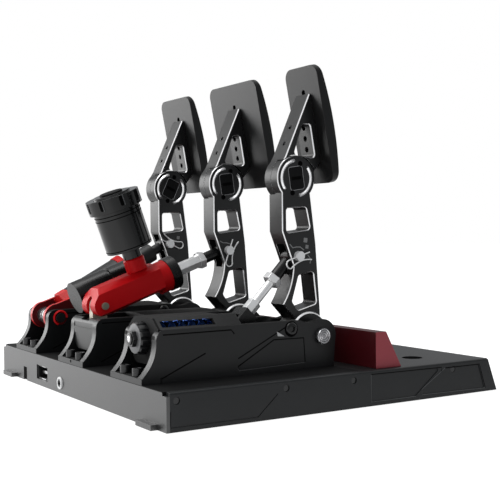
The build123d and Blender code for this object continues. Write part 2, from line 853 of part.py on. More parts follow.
def make_lower_arm(name):
    """Lower arm with its foot, clevis slot and near half of the hub."""
    x = pedal_x[name]
    near = x - arm_thickness / 2
    far = x + arm_thickness / 2
    lap = x - lap_gap / 2
    nose = [arm_point(share) for share in arm_nose_shares]
    curve = [arm_point(share) for share in arm_curve_shares]
    top = [arm_point(share) for share in arm_top_shares]
    heel = [arm_point(share) for share in arm_heel_shares]
    face = make_face([Polyline(*nose), ThreePointArc(*curve), Polyline(*top), Polyline(*heel)])
    arm = slab(face, near, far)
    arm += cross_rod(near, far, pivot_setback, pivot_height, foot_radius)
    arm += cross_rod(near, lap, hub_setback, hub_height, hub_radius)
    for shares in (high_window_shares, low_window_shares):
        window = rounded_face([arm_point(share) for share in shares], window_round)
        arm -= slab(window, near - overrun, far + overrun)
    arm = cut_rims(arm, (near, far))
    arm -= cross_rod(lap, far + overrun, hub_setback, hub_height, hub_radius + hub_clearance)
    arm += cross_rod(near + cut_edge, far - gap, hub_setback, hub_height, spigot_radius)
    boss = cross_rod(near - foot_boss, far + foot_boss, pivot_setback, pivot_height, foot_radius)
    arm += chamfer(boss.edges().filter_by(GeomType.CIRCLE), foot_boss_chamfer)
    ends = (near - overrun, far + overrun)
    arm -= cross_rod(*ends, pivot_setback, pivot_height, axle_radius + axle_fit)
    pin = (pin_setback[name], pin_height[name])
    arm -= cross_rod(*ends, *pin, clevis_pin_radius)
    back = pin[0] + slot_behind
    mouth = (pin[0] - arm_lean * 2, back)
    slot_x = (x - slot_width / 2, x + slot_width / 2)
    arm -= cuboid(slot_x, mouth, (pin[1] - slot_below, pin[1] + slot_above))
    for start in hub_slot_starts:
        bar = SlotArc(CenterArc((0, 0), hub_slot_radius, start, hub_slot_sweep), hub_slot_width)
        spot = Location((hub_setback, hub_height, 0))
        arm -= slab(spot * bar, near - overrun, near + hub_slot_depth)
    pocket = Location((hub_setback, hub_height, 0), (0, 0, hub_pocket_tilts[name]))
    pocket = pocket * RectangleRounded(hub_pocket_width, hub_pocket_height, hub_slot_width)
    arm -= slab(pocket, near - overrun, near + hub_pocket_depth)
    for angle in hub_screw_angles:
        spot = hub_screw_spot(angle)
        arm -= cross_rod(near - overrun, lap + overrun, *spot, hub_screw_radius + hub_screw_fit)
    return arm


def hub_screw_spot(angle):
    """Centre of a hub screw."""
    across = hub_setback + hub_screw_circle * cos(radians(angle))
    return (across, hub_height + hub_screw_circle * sin(radians(angle)))


def make_upper_arm(name):
    """Upper arm with the far half of the hub and the gusset behind the face plate."""
    x = pedal_x[name]
    near = x - arm_thickness / 2
    far = x + arm_thickness / 2
    lap = x + lap_gap / 2
    hub = (hub_setback, hub_height)
    nose = spread(upper_nose_shares, upper_reach, hub)
    top = nose[-1][1]
    low = hub_height + upper_low_share * upper_reach
    points = nose + [(back_at(top), top), (back_at(low), low)] + spread([upper_hub_share], upper_reach, hub)
    arm = slab(outline_face(points), near, far)
    window = rounded_face(spread(upper_window_shares, upper_reach, hub), window_round)
    arm -= slab(window, near - overrun, far + overrun)
    arm = cut_rims(arm, (near, far))
    arm -= cross_rod(near - overrun, lap, *hub, hub_radius + hub_clearance)
    half_hub = cross_rod(lap, far, *hub, hub_radius)
    arm += chamfer(half_hub.edges().sort_by(Axis.X)[-1], cut_edge)
    arm -= cross_rod(lap - gap, far + overrun, *hub, spigot_radius + spigot_fit)
    for angle in hub_screw_angles:
        arc = CenterArc((0, 0), hub_screw_circle, angle - tilt_range - 1, tilt_range * 2 + 2)
        bar = Location((*hub, 0)) * SlotArc(arc, tilt_slot_width)
        arm -= slab(bar, lap - gap, far + overrun)
    strip = (nose[-1][0] - nose[1][0], nose[-1][1] - nose[1][1])
    length = hypot(*strip)
    for spot in spread(strip_hole_shares, upper_reach, hub):
        inside = (spot[0] + strip[1] / length, spot[1] - strip[0] / length)
        arm -= on_axis(axis_plane(x, spot, inside), strip_hole_radius, -overrun, strip_hole_depth)
    for share in wall_hole_shares:
        height = hub_height + share * upper_reach
        back = (back_at(height), height)
        inside = (back[0] - cos(tilt), height - sin(tilt))
        arm -= on_axis(axis_plane(x, back, inside), wall_hole_radius, -overrun, wall_hole_depth)
    return arm


def make_face_plate(name):
    """Curved face plate of one pedal."""
    x = pedal_x[name] + face_shifts[name]
    width = face_widths[name]
    back_low = face_point(0, 0)
    back_high = face_point(1, 0)
    front_high = face_point(1, face_top_thickness)
    front_mid = face_point(0.5, face_middle_thickness)
    front_low = face_point(0, face_bottom_thickness)
    edges = [
        Line(back_low, back_high),
        Line(back_high, front_high),
        ThreePointArc(front_high, front_mid, front_low),
        Line(front_low, back_low),
    ]
    plate = slab(make_face(edges), x - width / 2, x + width / 2)
    middle = face_point(0.5, 0)
    plane = Plane(origin=place(x, *middle), x_dir=(1, 0, 0), z_dir=(0, -cos(tilt), sin(tilt)))
    outline = RectangleRounded(width, face_height, face_corner)
    plate = plate & extrude(plane.offset(-overrun) * outline, amount=overrun * 4)
    hole = face_point(1 - face_hole_drop / face_height, 0)
    inside = (hole[0] + cos(tilt), hole[1] + sin(tilt))
    return plate - on_axis(axis_plane(pedal_x[name], hole, inside), face_hole_radius, -gap, face_hole_depth)


def make_clip(name):
    """Spring clip through the near end of a clevis pin."""
    x = pedal_x[name] - arm_thickness / 2 - clevis_pin_proud / 2
    turn = radians(clip_turns[name])
    pin = (pin_setback[name], pin_height[name])

    def spot(along, across):
        ahead = (-cos(turn) * along - sin(turn) * across, sin(turn) * along - cos(turn) * across)
        return place(x, pin[0] + ahead[0], pin[1] + ahead[1])

    half = clip_length / 2
    knee = clip_loop + clip_spread
    straight = Line(spot(-half, 0), spot(half, 0))
    loop = ThreePointArc(spot(half, 0), spot(half + clip_loop, clip_loop), spot(half, clip_loop * 2))
    hump = spot(knee / 2, clevis_pin_radius + clip_wire)
    bend = ThreePointArc(spot(half, clip_loop * 2), hump, spot(-half, knee))
    path = straight + loop + bend
    profile = Plane(origin=spot(-half, 0), z_dir=straight % 0) * Circle(clip_wire)
    return sweep(profile, path=path, transition=Transition.ROUND)


def make_arm_fasteners(name):
    """Clevis pin, its clip and the two hub screws of one pedal."""
    x = pedal_x[name]
    near = x - arm_thickness / 2
    far = x + arm_thickness / 2
    pin_spot = (pin_setback[name], pin_height[name])
    pin = cross_rod(near - clevis_pin_proud, far, *pin_spot, clevis_pin_radius)
    pin += cross_rod(far, far + clevis_pin_proud / 2, *pin_spot, clevis_pin_radius + clip_wire * 2)
    clip = make_clip(name)
    pieces = [pin - clip, clip]
    for angle in hub_screw_angles:
        spot = hub_screw_spot(angle)
        screw = cross_rod(near + gap, far + gap, *spot, hub_screw_radius)
        head_end = far + gap + hub_screw_head_height
        pieces.append(screw + cross_rod(far + gap, head_end, *spot, hub_screw_head_radius))
    return pieces


# Clutch spring pack and link
clutch_x = pedal_x["clutch"]
guide_rod = level_rod(clutch_x, guide_height, guide_nose, carriage_front + carriage_plate, guide_radius)
knob = level_rod(clutch_x, guide_height, knob_nose, knob_heel, knob_radius)
knob -= level_rod(clutch_x, guide_height, 0, knob_heel + overrun, guide_radius + guide_fit)
nut_plane = Plane(origin=place(clutch_x, nut_nose, guide_height), x_dir=(1, 0, 0), z_dir=(0, -1, 0))
guide_nut = prism(nut_plane, hexagon(nut_flats), 0, nut_heel - nut_nose)
guide_nut -= level_rod(clutch_x, guide_height, 0, knob_heel, guide_radius)
plate_back = carriage_front + carriage_plate
slider_half = wall_inner - gap
carriage = cuboid(
    (clutch_x - slider_half, clutch_x + slider_half),
    (carriage_front, plate_back),
    (carriage_low, carriage_high),
)
lug_ends = (clutch_x - carriage_lug_half, clutch_x + carriage_lug_half)
lug_rise = (carriage_pin_height - carriage_lug_radius, carriage_pin_height + carriage_lug_radius)
carriage += cuboid(lug_ends, (carriage_front, carriage_setback), lug_rise)
carriage += cross_rod(*lug_ends, carriage_setback, carriage_pin_height, carriage_lug_radius)
carriage -= level_rod(clutch_x, guide_height, carriage_front - overrun, plate_back, guide_radius)
carriage_pin_spot = (carriage_setback, carriage_pin_height)
carriage_pin_ends = (clutch_x - carriage_pin_half, clutch_x + carriage_pin_half)
carriage_pin = cross_rod(*carriage_pin_ends, *carriage_pin_spot, carriage_pin_radius)
carriage -= cross_rod(*lug_ends, *carriage_pin_spot, carriage_pin_radius)

clutch_end = (pin_setback["clutch"], pin_height["clutch"])
link = axis_plane(clutch_x, carriage_pin_spot, clutch_end)
link_length = hypot(clutch_end[0] - carriage_setback, clutch_end[1] - carriage_pin_height)
clevis_half = carriage_lug_half + gap + clevis_ear
clevis_ends = (clutch_x - clevis_half, clutch_x + clevis_half)
clevis = cross_rod(*clevis_ends, *carriage_pin_spot, carriage_lug_radius)
clevis_bar = Rectangle(clevis_half * 2, carriage_lug_radius * 2)
clevis += prism(link, clevis_bar, 0, clevis_end)
tongue = Rectangle((carriage_lug_half + gap) * 2, carriage_lug_radius * 4)
clevis -= prism(link, tongue, -carriage_lug_radius * 2, clevis_bridge_start + gap)
clevis -= cross_rod(*clevis_ends, *carriage_pin_spot, carriage_pin_radius + axle_fit)
link_rod = prism(link, hexagon(link_hex_flats), clevis_end, link_hex_end)
link_rod += on_axis(link, link_rod_radius, link_hex_end, link_rod_end)
link_nut = prism(link, hexagon(link_nut_flats), link_rod_end, link_nut_end)


def rod_eye(x, plane, spot, start, length, shank):
    """Rod end with an eye for the clevis pin."""
    ends = (x - eye_width / 2, x + eye_width / 2)
    body = on_axis(plane, shank, start, length - eye_radius)
    body += on_axis(plane, eye_neck_radius, length - eye_radius * 2, length)
    body += cross_rod(*ends, *spot, eye_radius)
    return body - cross_rod(*ends, *spot, clevis_pin_radius + link_pin_play)


clutch_rod_end = rod_eye(clutch_x, link, clutch_end, link_nut_end, link_length, rod_end_shank)

# Spring, one unbroken wire from seat to seat
spring_front = knob_back + spring_wire
spring_back = carriage_front - spring_wire
coil_radius = spring_radius - spring_wire
pitch = (spring_back - spring_front) / spring_coils
quarter = pi / 2


def spring_point(turn):
    """Point on the spring's centre line after an angle of turning."""
    setback = spring_front + pitch * turn / (2 * pi)
    return place(clutch_x + coil_radius * cos(turn), setback, guide_height + coil_radius * sin(turn))


arcs = []
for step in range(spring_coils * 4):
    first = step * quarter
    middle = spring_point(first + quarter / 2)
    arcs.append(ThreePointArc(spring_point(first), middle, spring_point(first + quarter)))
spring_path = Wire(arcs)
spring_start = Plane(origin=spring_point(0), z_dir=arcs[0] % 0)
clutch_spring = sweep(spring_start * RegularPolygon(spring_wire, 6), path=spring_path)
print("spring gap", round(pitch - spring_wire * 2, 2))

# Brake cylinder
brake_pivot = (cylinder_setback, cylinder_height)
brake_end = (pin_setback["brake"], pin_height["brake"])
brake = axis_plane(0, brake_pivot, brake_end)
brake_length = hypot(brake_end[0] - cylinder_setback, brake_end[1] - cylinder_height)
octagon = [
    (-cylinder_flat_half, cylinder_over),
    (-cylinder_half, cylinder_shoulder),
    (-cylinder_half, -cylinder_under_shoulder),
    (-cylinder_flat_half, -cylinder_under),
    (cylinder_flat_half, -cylinder_under),
    (cylinder_half, -cylinder_under_shoulder),
    (cylinder_half, cylinder_shoulder),
    (cylinder_flat_half, cylinder_over),
]
cylinder = prism(brake, outline_face(octagon), -cylinder_nose_radius, cylinder_end)
corner = cylinder_nose_radius / sqrt(2)
nose_top = cylinder_over - cylinder_nose_radius * sqrt(2)
nose_profile = [
    ThreePointArc((0, -cylinder_nose_radius), (-cylinder_nose_radius, 0), (-corner, corner)),
    Line((-corner, corner), (nose_top, cylinder_over)),
    Line((nose_top, cylinder_over), (cylinder_end, cylinder_over)),
    Line((cylinder_end, cylinder_over), (cylinder_end, -cylinder_under)),
    Line((cylinder_end, -cylinder_under), (cylinder_nose_radius, -cylinder_under)),
    Line((cylinder_nose_radius, -cylinder_under), (0, -cylinder_nose_radius)),
]
side_on = Plane(origin=place(cylinder_half, *brake_pivot), x_dir=brake.z_dir, z_dir=(-1, 0, 0))
cylinder &= extrude(side_on * make_face(nose_profile), amount=cylinder_half * 2)
cylinder += on_axis(brake, collar_radius, cylinder_end, collar_end)
cylinder -= on_axis(brake, cylinder_bore_radius, cylinder_bore_start, collar_end + overrun)
fork_low = -cylinder_under * 2
fork_cut = Rectangle(brake_fork_half * 2, brake_fork_top - fork_low)
fork_cut = Location((0, (brake_fork_top + fork_low) / 2)) * fork_cut
fork_cut += Location((0, brake_fork_top)) * Circle(brake_fork_half)
cylinder -= prism(brake, fork_cut, -cylinder_under * 2, brake_fork_end)
cylinder -= cross_rod(-cylinder_half, cylinder_half, *brake_pivot, brake_pin_radius + axle_fit)
gland = on_axis(brake, gland_radius, collar_end, gland_end)
gland -= on_axis(brake, gland_bore, collar_end - gap, gland_end + gap)
brake_pin = cross_rod(-brake_pin_half, brake_pin_half, *brake_pivot, brake_pin_radius)

lug_foot_start = frame_nose + nose_block_recess + nose_block_thickness + gap
lug_screw_setback = lug_foot_start + lug_screw_radius * 1.5
lug = cuboid(
    (-lug_foot_half, lug_foot_half),
    (lug_foot_start, lug_foot_start + lug_foot_length),
    (bridge_top, bridge_top + lug_foot_thickness),
)
lug += cuboid(
    (-lug_half, lug_half),
    (cylinder_setback - lug_radius, cylinder_setback + lug_radius),
    (bridge_top, cylinder_height),
)
lug += cross_rod(-lug_half, lug_half, *brake_pivot, lug_radius)
lug -= cross_rod(-lug_half, lug_half, *brake_pivot, brake_pin_radius + axle_fit)
for side in (-1, 1):
    spot = (side * (lug_foot_half - lug_screw_inset), lug_screw_setback)
    lug_screw = post(*spot, bridge_low, lug_screw_top, lug_screw_radius)
    lug -= lug_screw
    frames["brake"] -= lug_screw
    frame_bolts.append(lug_screw)

push_rod = on_axis(brake, cylinder_bore_radius - piston_fit, piston_start, piston_end)
push_rod += on_axis(brake, push_rod_radius, piston_start, push_nut_start)
push_rod += prism(brake, hexagon(push_hex_flats), push_hex_start, push_nut_start)
push_nut = prism(brake, hexagon(push_nut_flats), push_nut_start, push_nut_end)
brake_rod_end = rod_eye(0, brake, brake_end, push_nut_end, brake_length, rod_end_shank)

# Fluid reservoir, standing on the brake cylinder
along = ((brake_end[0] - cylinder_setback) / brake_length, (brake_end[1] - cylinder_height) / brake_length)
foot = (
    cylinder_setback + reservoir_station * along[0],
    cylinder_height + reservoir_station * along[1],
)
upright = axis_plane(0, foot, (foot[0] - along[1], foot[1] + along[0]))
fitting = on_axis(upright, fitting_radius, cylinder_over, fitting_top)
fitting = chamfer(fitting.edges().sort_by(Axis.Z)[-1], fitting_radius / 8)
reservoir = on_axis(upright, neck_radius, fitting_top, reservoir_low + reservoir_wall)
reservoir += on_axis(upright, reservoir_radius, reservoir_low, reservoir_top)
inside_radius = reservoir_radius - reservoir_wall
reservoir -= on_axis(upright, inside_radius, reservoir_low + reservoir_wall, reservoir_top + overrun)
cap = on_axis(upright, cap_radius, cap_low, cap_top)
cap += on_axis(upright, cap_radius - cap_step, cap_top, cap_top + cap_step_height)
cap -= on_axis(upright, reservoir_radius + spigot_fit, cap_low - gap, reservoir_top)

canister_axis = axis_plane(
    canister_x,
    (cylinder_setback - along[1] * canister_rise, cylinder_height + along[0] * canister_rise),
    (brake_end[0] - along[1] * canister_rise, brake_end[1] + along[0] * canister_rise),
)
canister = on_axis(canister_axis, canister_radius, canister_start, canister_end)
groove_end = canister_groove + canister_groove_width
ring = on_axis(canister_axis, canister_radius + overrun, canister_groove, groove_end)
ring -= on_axis(canister_axis, canister_radius - canister_groove_depth, 0, canister_end)
canister -= ring
bracket_span = (cylinder_half, canister_x - canister_radius / 2)
bracket_x = (bracket_span[0] + bracket_span[1]) / 2
for station in bracket_stations:
    bar = Rectangle(bracket_span[1] - bracket_span[0], bracket_height)
    bar = Location((bracket_x, canister_rise / 2)) * bar
    canister += prism(brake, bar, station - bracket_length / 2, station + bracket_length / 2)

# Throttle strut
throttle_x = pedal_x["throttle"]
strut_pivot = (strut_setback, strut_height)
throttle_end = (pin_setback["throttle"], pin_height["throttle"])
strut = axis_plane(throttle_x, strut_pivot, throttle_end)
strut_length = hypot(throttle_end[0] - strut_setback, throttle_end[1] - strut_height)
arm_inner = strut_arm_outer - strut_arm_thickness
strut_run = (throttle_end[0] - strut_setback, throttle_end[1] - strut_height)
strut_along = (strut_run[0] / strut_length, strut_run[1] / strut_length)


def strut_spot(station, rise):
    """Point of a side view by its station along the strut and its rise above the axis."""
    across = strut_setback + station * strut_along[0] - rise * strut_along[1]
    return (across, strut_height + station * strut_along[1] + rise * strut_along[0])


arm_outline = [
    strut_spot(0, strut_eye_radius - gap),
    strut_spot(strut_block_end, strut_arm_root),
    strut_spot(strut_block_end, -strut_arm_root),
    strut_spot(0, gap - strut_eye_radius),
]
block = Rotation(0, 0, 180 / block_sides) * RegularPolygon(strut_block_radius, block_sides)
strut_fork = prism(strut, block, strut_block_start, strut_block_end)
for side in (-1, 1):
    ends = sorted((throttle_x + side * arm_inner, throttle_x + side * strut_arm_outer))
    strut_fork += cross_rod(*ends, *strut_pivot, strut_eye_radius) + slab(outline_face(arm_outline), *ends)
bar = Rectangle(strut_arm_outer * 2, strut_arm_root * 2)
strut_fork += prism(strut, bar, strut_block_start, strut_block_end)
boss_end = throttle_x - side_cover_outer + gap
strut_fork += cross_rod(boss_end, throttle_x - arm_inner, *strut_pivot, strut_boss_radius)
fork_bore = (boss_end - overrun, throttle_x + wall_inner)
strut_fork -= cross_rod(*fork_bore, *strut_pivot, axle_radius + axle_fit)
barrel = on_axis(strut, barrel_radius, strut_block_end, barrel_end)
barrel -= on_axis(strut, barrel_bore, strut_block_end + sheet, barrel_end + overrun)
strut_collar = on_axis(strut, collar_ring_radius, barrel_end, collar_ring_end)
strut_collar -= on_axis(strut, strut_rod_radius + strut_rod_fit, barrel_end - gap, collar_ring_end + gap)
strut_rod = on_axis(strut, strut_rod_radius, strut_rod_start, strut_rod_end)
strut_rod += rod_eye(throttle_x, strut, throttle_end, strut_rod_end, strut_length, strut_neck_radius)

skin = throttle_x - side_cover_outer
far = throttle_x + far_wall_outer
strut_pin = cross_rod(skin - strut_pin_proud, far, *strut_pivot, axle_radius)
strut_pin += cross_rod(far, far + axle_nut_height, *strut_pivot, strut_pin_head_radius)
bush_ends = (throttle_x - arm_inner + gap, throttle_x + arm_inner - gap)
strut_bush = cross_rod(*bush_ends, *strut_pivot, strut_bush_radius)
spacers.append(strut_bush - cross_rod(skin, far, *strut_pivot, axle_radius))

# Nodes
nodes = {
    "base_tray": tray,
    "front_deck": front_deck,
    "heel_plate": heel_plate,
    "heel_stop": heel_stop,
    **covers,
    "rubber_feet": feet,
    "cover_screws": cover_screws + lock_screws,
    "control_board": board,
    "wide_socket": port_shell,
    "round_socket": round_port,
    "frame_bolts": frame_bolts,
    "pivot_axles": axles,
    "pivot_spacers": spacers,
    "angle_sensors": sensors,
    "guide_rod": guide_rod,
    "guide_rod_nut": guide_nut,
    "preload_knob": knob,
    "clutch_carriage": carriage,
    "carriage_pin": carriage_pin,
    "clutch_spring": clutch_spring,
    "link_clevis": clevis,
    "link_rod": link_rod,
    "link_nut": link_nut,
    "clutch_rod_end": clutch_rod_end,
    "brake_lug": lug,
    "brake_cylinder": cylinder,
    "cylinder_gland": gland,
    "reservoir_fitting": fitting,
    "fluid_reservoir": reservoir,
    "reservoir_cap": cap,
    "brake_canister": canister,
    "brake_push_rod": push_rod,
    "brake_rod_nut": push_nut,
    "brake_rod_end": brake_rod_end,
    "linkage_pins": [brake_pin, strut_pin],
    "strut_fork": strut_fork,
    "strut_barrel": barrel,
    "strut_collar": strut_collar,
    "strut_rod": strut_rod,
}
for name in pedal_x:
    nodes[name + "_frame"] = frames[name]
    nodes[name + "_frame_cover"] = side_covers[name]
    nodes[name + "_lower_arm"] = make_lower_arm(name)
    nodes[name + "_upper_arm"] = make_upper_arm(name)
    nodes[name + "_face_plate"] = make_face_plate(name)
    nodes[name + "_arm_fasteners"] = make_arm_fasteners(name)

os.makedirs("parts", exist_ok=True)
for name, shape in nodes.items():
    if isinstance(shape, list):
        shape = Compound(children=[solid for piece in shape for solid in piece.solids()])
    export_step(shape, os.path.join("parts", name + ".step"))
print(len(nodes), "nodes")
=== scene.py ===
"""Dresses the pedal set's solids: finishes, thin trim and marks, floor, light and camera.

A place in a side view is (setback behind the nose wall, height), in millimetres.
Blender's own lengths are in metres.
"""
import math

import bmesh
import bpy
from mathutils import Matrix, Vector


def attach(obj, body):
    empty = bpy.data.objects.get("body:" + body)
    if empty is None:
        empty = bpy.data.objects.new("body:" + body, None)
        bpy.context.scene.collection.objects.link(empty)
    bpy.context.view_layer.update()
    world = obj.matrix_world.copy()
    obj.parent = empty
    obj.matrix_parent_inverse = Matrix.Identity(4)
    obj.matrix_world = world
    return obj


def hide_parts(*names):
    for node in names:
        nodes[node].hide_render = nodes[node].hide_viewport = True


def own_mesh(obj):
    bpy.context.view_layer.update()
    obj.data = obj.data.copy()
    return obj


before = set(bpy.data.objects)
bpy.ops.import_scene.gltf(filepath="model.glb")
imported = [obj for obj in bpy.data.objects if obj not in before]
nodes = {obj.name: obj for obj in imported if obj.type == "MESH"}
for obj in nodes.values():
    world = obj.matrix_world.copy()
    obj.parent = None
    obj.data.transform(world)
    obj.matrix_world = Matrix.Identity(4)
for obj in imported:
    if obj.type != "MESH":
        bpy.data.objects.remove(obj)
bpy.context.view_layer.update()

# Places on the solids
PEDALS = {"clutch": -125.0, "brake": 0.0, "throttle": 125.0}  # X of each pedal's middle plane
COVER_FACE = 31.0  # from a pedal's middle plane out to its frame cover
ARM_FACE = 11.0  # from a pedal's middle plane out to the near face of its arm
BASE_SIDE = 200.0  # from the set's middle plane out to the side covers
AXLE = (181.5, 60.6)
HUB = (168.7, 205.1)
LOCK = (148.0, 69.0)
STRUT = (27.0, 67.6)
CYLINDER = (29.5, 86.6)
BRAKE_PIN = (169.5, 137.0)
GUIDE = 67.0  # height of the clutch's guide rod
NOSE = 0.1765  # Y of the nose wall, in metres
NEARWARD = (-1, 0, 0)
NOSEWARD = (0, 1, 0)


def at(x, s, z):
    """A point in metres from its X, its setback from the nose wall and its height, in millimetres."""
    return Vector((x / 1000, NOSE - s / 1000, z / 1000))


def add_object(name, data):
    """A new object in the scene."""
    obj = bpy.data.objects.new(name, data)
    bpy.context.scene.collection.objects.link(obj)
    return obj


# Camera at the photograph's view, solved from the straight edges of the base
SENSOR_MM, LENS_MM = 36.0, 69.48
YAW, PITCH, ROLL = (math.radians(angle) for angle in (32.041, 1.240, -0.506))
CAMERA_SPOT = (-0.86607, 0.33923 + NOSE, 0.15860)
cam_data = bpy.data.cameras.new("camera")
cam = add_object("camera", cam_data)
bpy.context.scene.camera = cam
cam_data.sensor_width = SENSOR_MM
cam_data.lens = LENS_MM
cam_data.clip_start = 0.01
cam_data.clip_end = 50.0
ahead = Vector((math.cos(YAW) * math.cos(PITCH), -math.sin(YAW) * math.cos(PITCH), -math.sin(PITCH)))
right = ahead.cross(Vector((0, 0, 1))).normalized()
up = right.cross(ahead)
side = math.cos(ROLL) * right + math.sin(ROLL) * up
top = -math.sin(ROLL) * right + math.cos(ROLL) * up
turn = Matrix((side, top, -ahead)).transposed().to_4x4()
cam.matrix_world = Matrix.Translation(CAMERA_SPOT) @ turn


# Shader nodes
def feed(tree, node, inputs):
    """Gives a node's inputs, by name or index, a plain value or a link from another node's socket."""
    for key, value in inputs.items():
        if isinstance(value, bpy.types.NodeSocket):
            tree.links.new(value, node.inputs[key])
        else:
            node.inputs[key].default_value = value


def new_node(tree, kind, inputs, **settings):
    """A new shader node with its settings and inputs."""
    node = tree.nodes.new("ShaderNode" + kind)
    for setting, value in settings.items():
        setattr(node, setting, value)
    feed(tree, node, inputs)
    return node


def compute(tree, operation, a, b=0.0):
    """The result of a Math node."""
    return new_node(tree, "Math", {0: a, 1: b}, operation=operation).outputs["Value"]


def band(tree, value, low, high):
    """1 where a value lies between two bounds, and 0 elsewhere."""
    inputs = {0: value, 1: (low + high) / 2, 2: (high - low) / 2}
    return new_node(tree, "Math", inputs, operation="COMPARE").outputs["Value"]


def part_of(tree, vector, axis):
    """One coordinate of a vector."""
    return new_node(tree, "SeparateXYZ", {"Vector": vector}).outputs[axis]


# Masks: each is a function of a node tree and the place on the object, and gives a socket from 0 to 1
SQUARE_ON = (0.9, 1.1)
CHAMFERED = (0.45, 0.9)
ROUND = (0.0, 0.5)


def facing(squareness, axis="X"):
    """A mask for faces by how squarely they look along an axis, from 0 to 1."""
    def mask(tree, place):
        normal = new_node(tree, "NewGeometry", {}).outputs["True Normal"]
        return band(tree, compute(tree, "ABSOLUTE", part_of(tree, normal, axis)), *squareness)
    return mask


def along(axis, low, high):
    """A mask for the part of a node between two places on an axis, in metres."""
    return lambda tree, place: band(tree, part_of(tree, place, axis), low, high)


def stripes(axis, pitch, share):
    """A mask of turned rings on round faces, one each pitch in metres, which cover a share of it."""
    def mask(tree, place):
        turns = compute(tree, "MULTIPLY", part_of(tree, place, axis), 1 / pitch)
        rings = band(tree, compute(tree, "FRACT", turns), 0.0, share)
        return compute(tree, "MULTIPLY", rings, facing(ROUND)(tree, place))
    return mask


# Masks for painted shade: the frames' up-facing roofs, and on the clutch frame also the wall behind its
# knob and the front of its hood.
ROOF = facing(SQUARE_ON, "Z")
KNOB_WALL = along("Y", 0.1575, 0.1595)
HOOD_HEIGHT = along("Z", 0.068, 0.090)
HOOD_SHADE_SHARE = 0.75


def clutch_shade_mask(tree, place):
    """A mask for painted shade on the clutch frame: its roof, the wall behind its knob, which the knob
    shades, and the front of the hood over it, at a share.
    """
    hood = compute(tree, "MULTIPLY", HOOD_HEIGHT(tree, place), facing(SQUARE_ON, "Y")(tree, place))
    share = compute(tree, "MAXIMUM", ROOF(tree, place), KNOB_WALL(tree, place))
    return compute(tree, "MAXIMUM", share, compute(tree, "MULTIPLY", hood, HOOD_SHADE_SHARE))


# Materials
FINE, BROAD = 900.0, 18.0  # noise scales of the finish and of its slow change in colour
ROUGH_SPREAD = 0.07
SMOOTHEST = 0.04
DENT = 0.0005


def material(name, colour, metallic=0.0, rough=0.5, vary=0.2, bump=0.03, spec=0.5, cut=None):
    """A surface with fine colour and roughness variation and a fine bump.
    cut is (mask, colour, metallic, roughness), the finish of the places that its mask picks out."""
    mat = bpy.data.materials.new(name)
    mat.use_nodes = True
    tree = mat.node_tree
    place = new_node(tree, "TexCoord", {}).outputs["Object"]
    fine = new_node(tree, "TexNoise", {"Vector": place, "Scale": FINE, "Detail": 4}).outputs["Fac"]
    broad = new_node(tree, "TexNoise", {"Vector": place, "Scale": BROAD, "Detail": 3}).outputs["Fac"]
    ramp = new_node(tree, "ValToRGB", {"Fac": broad})
    for stop, position, change in ((0, 0.3, 1 - vary), (1, 0.7, 1 + vary)):
        element = ramp.color_ramp.elements[stop]
        element.position = position
        element.color = (*[min(1.0, c * change) for c in colour], 1)
    tone = ramp.outputs["Color"]
    roughness = new_node(tree, "MapRange", {
        "Value": fine,
        "To Min": max(SMOOTHEST, rough - ROUGH_SPREAD),
        "To Max": min(1.0, rough + ROUGH_SPREAD),
    }).outputs["Result"]
    dents = new_node(tree, "Bump", {"Strength": bump, "Distance": DENT, "Height": fine})
    if cut:
        make_mask, light, shine, smooth = cut
        mask = make_mask(tree, place)
        tone = new_node(tree, "Mix", {0: mask, 6: tone, 7: light}, data_type="RGBA").outputs[2]
        inputs = {"Value": mask, "To Min": metallic, "To Max": shine}
        metallic = new_node(tree, "MapRange", inputs).outputs["Result"]
        roughness = new_node(tree, "Mix", {0: mask, 2: roughness, 3: smooth}).outputs[0]
    feed(tree, tree.nodes["Principled BSDF"], {
        "Base Color": tone,
        "Metallic": metallic,
        "Roughness": roughness,
        "Specular IOR Level": spec,
        "Normal": dents.outputs["Normal"],
    })
    return mat


# Painted shade: near-black and fully rough, laid on the places picked out by the masks above.
PAINTED_SHADE = ((0.002, 0.002, 0.002, 1), 0.0, 1.0)
FRAME_BLACK = (0.008, 0.0084, 0.009)
PAINT = material("black_paint", (0.009, 0.0094, 0.0100), 0.0, 0.42, bump=0.05, spec=0.32)
# Frame paint with painted shade on its roofs; the clutch frame's copy also has painted shade round its
# knob.
FRAME = material("frame_paint", FRAME_BLACK, 0.0, 0.36, bump=0.05, spec=0.35, cut=(ROOF, *PAINTED_SHADE))
CLUTCH_FRAME = material("clutch_frame_paint", FRAME_BLACK, 0.0, 0.36, bump=0.05, spec=0.35,
                        cut=(clutch_shade_mask, *PAINTED_SHADE))
TRAY = material("tray_paint", (0.014, 0.0145, 0.015), 0.0, 0.36, bump=0.05, spec=1.0)
ARM = material("black_anodised", (0.010, 0.0102, 0.0104), 0.0, 0.34, bump=0.03, spec=0.4,
               cut=(facing(CHAMFERED), (0.86, 0.86, 0.87, 1), 1.0, 0.30))
PLATE = material("plate_black", (0.006, 0.0061, 0.0063), 0.0, 0.38, bump=0.04, spec=0.29)
PLASTIC = material("black_plastic", (0.0095, 0.0106, 0.0116), 0.0, 0.45, bump=0.08, spec=0.32)
GLOSS = material("gloss_plastic", (0.005, 0.0052, 0.0054), 0.0, 0.15, bump=0.02, spec=0.38)
# Darker than the other black paint: on the deck between the pedal walls this is painted shade; the hub
# pockets and the reservoir cap's disc use the same dark finish.
DECK = material("deck_paint_and_shade", (0.004, 0.0042, 0.0044), 0.0, 0.60, bump=0.06, spec=0.12)
RUBBER = material("rubber", (0.006, 0.006, 0.006), 0.0, 0.8, bump=0.2, spec=0.2)
BLACK_STEEL = material("black_steel", (0.008, 0.008, 0.009), 0.0, 0.28, bump=0.03, spec=0.5)
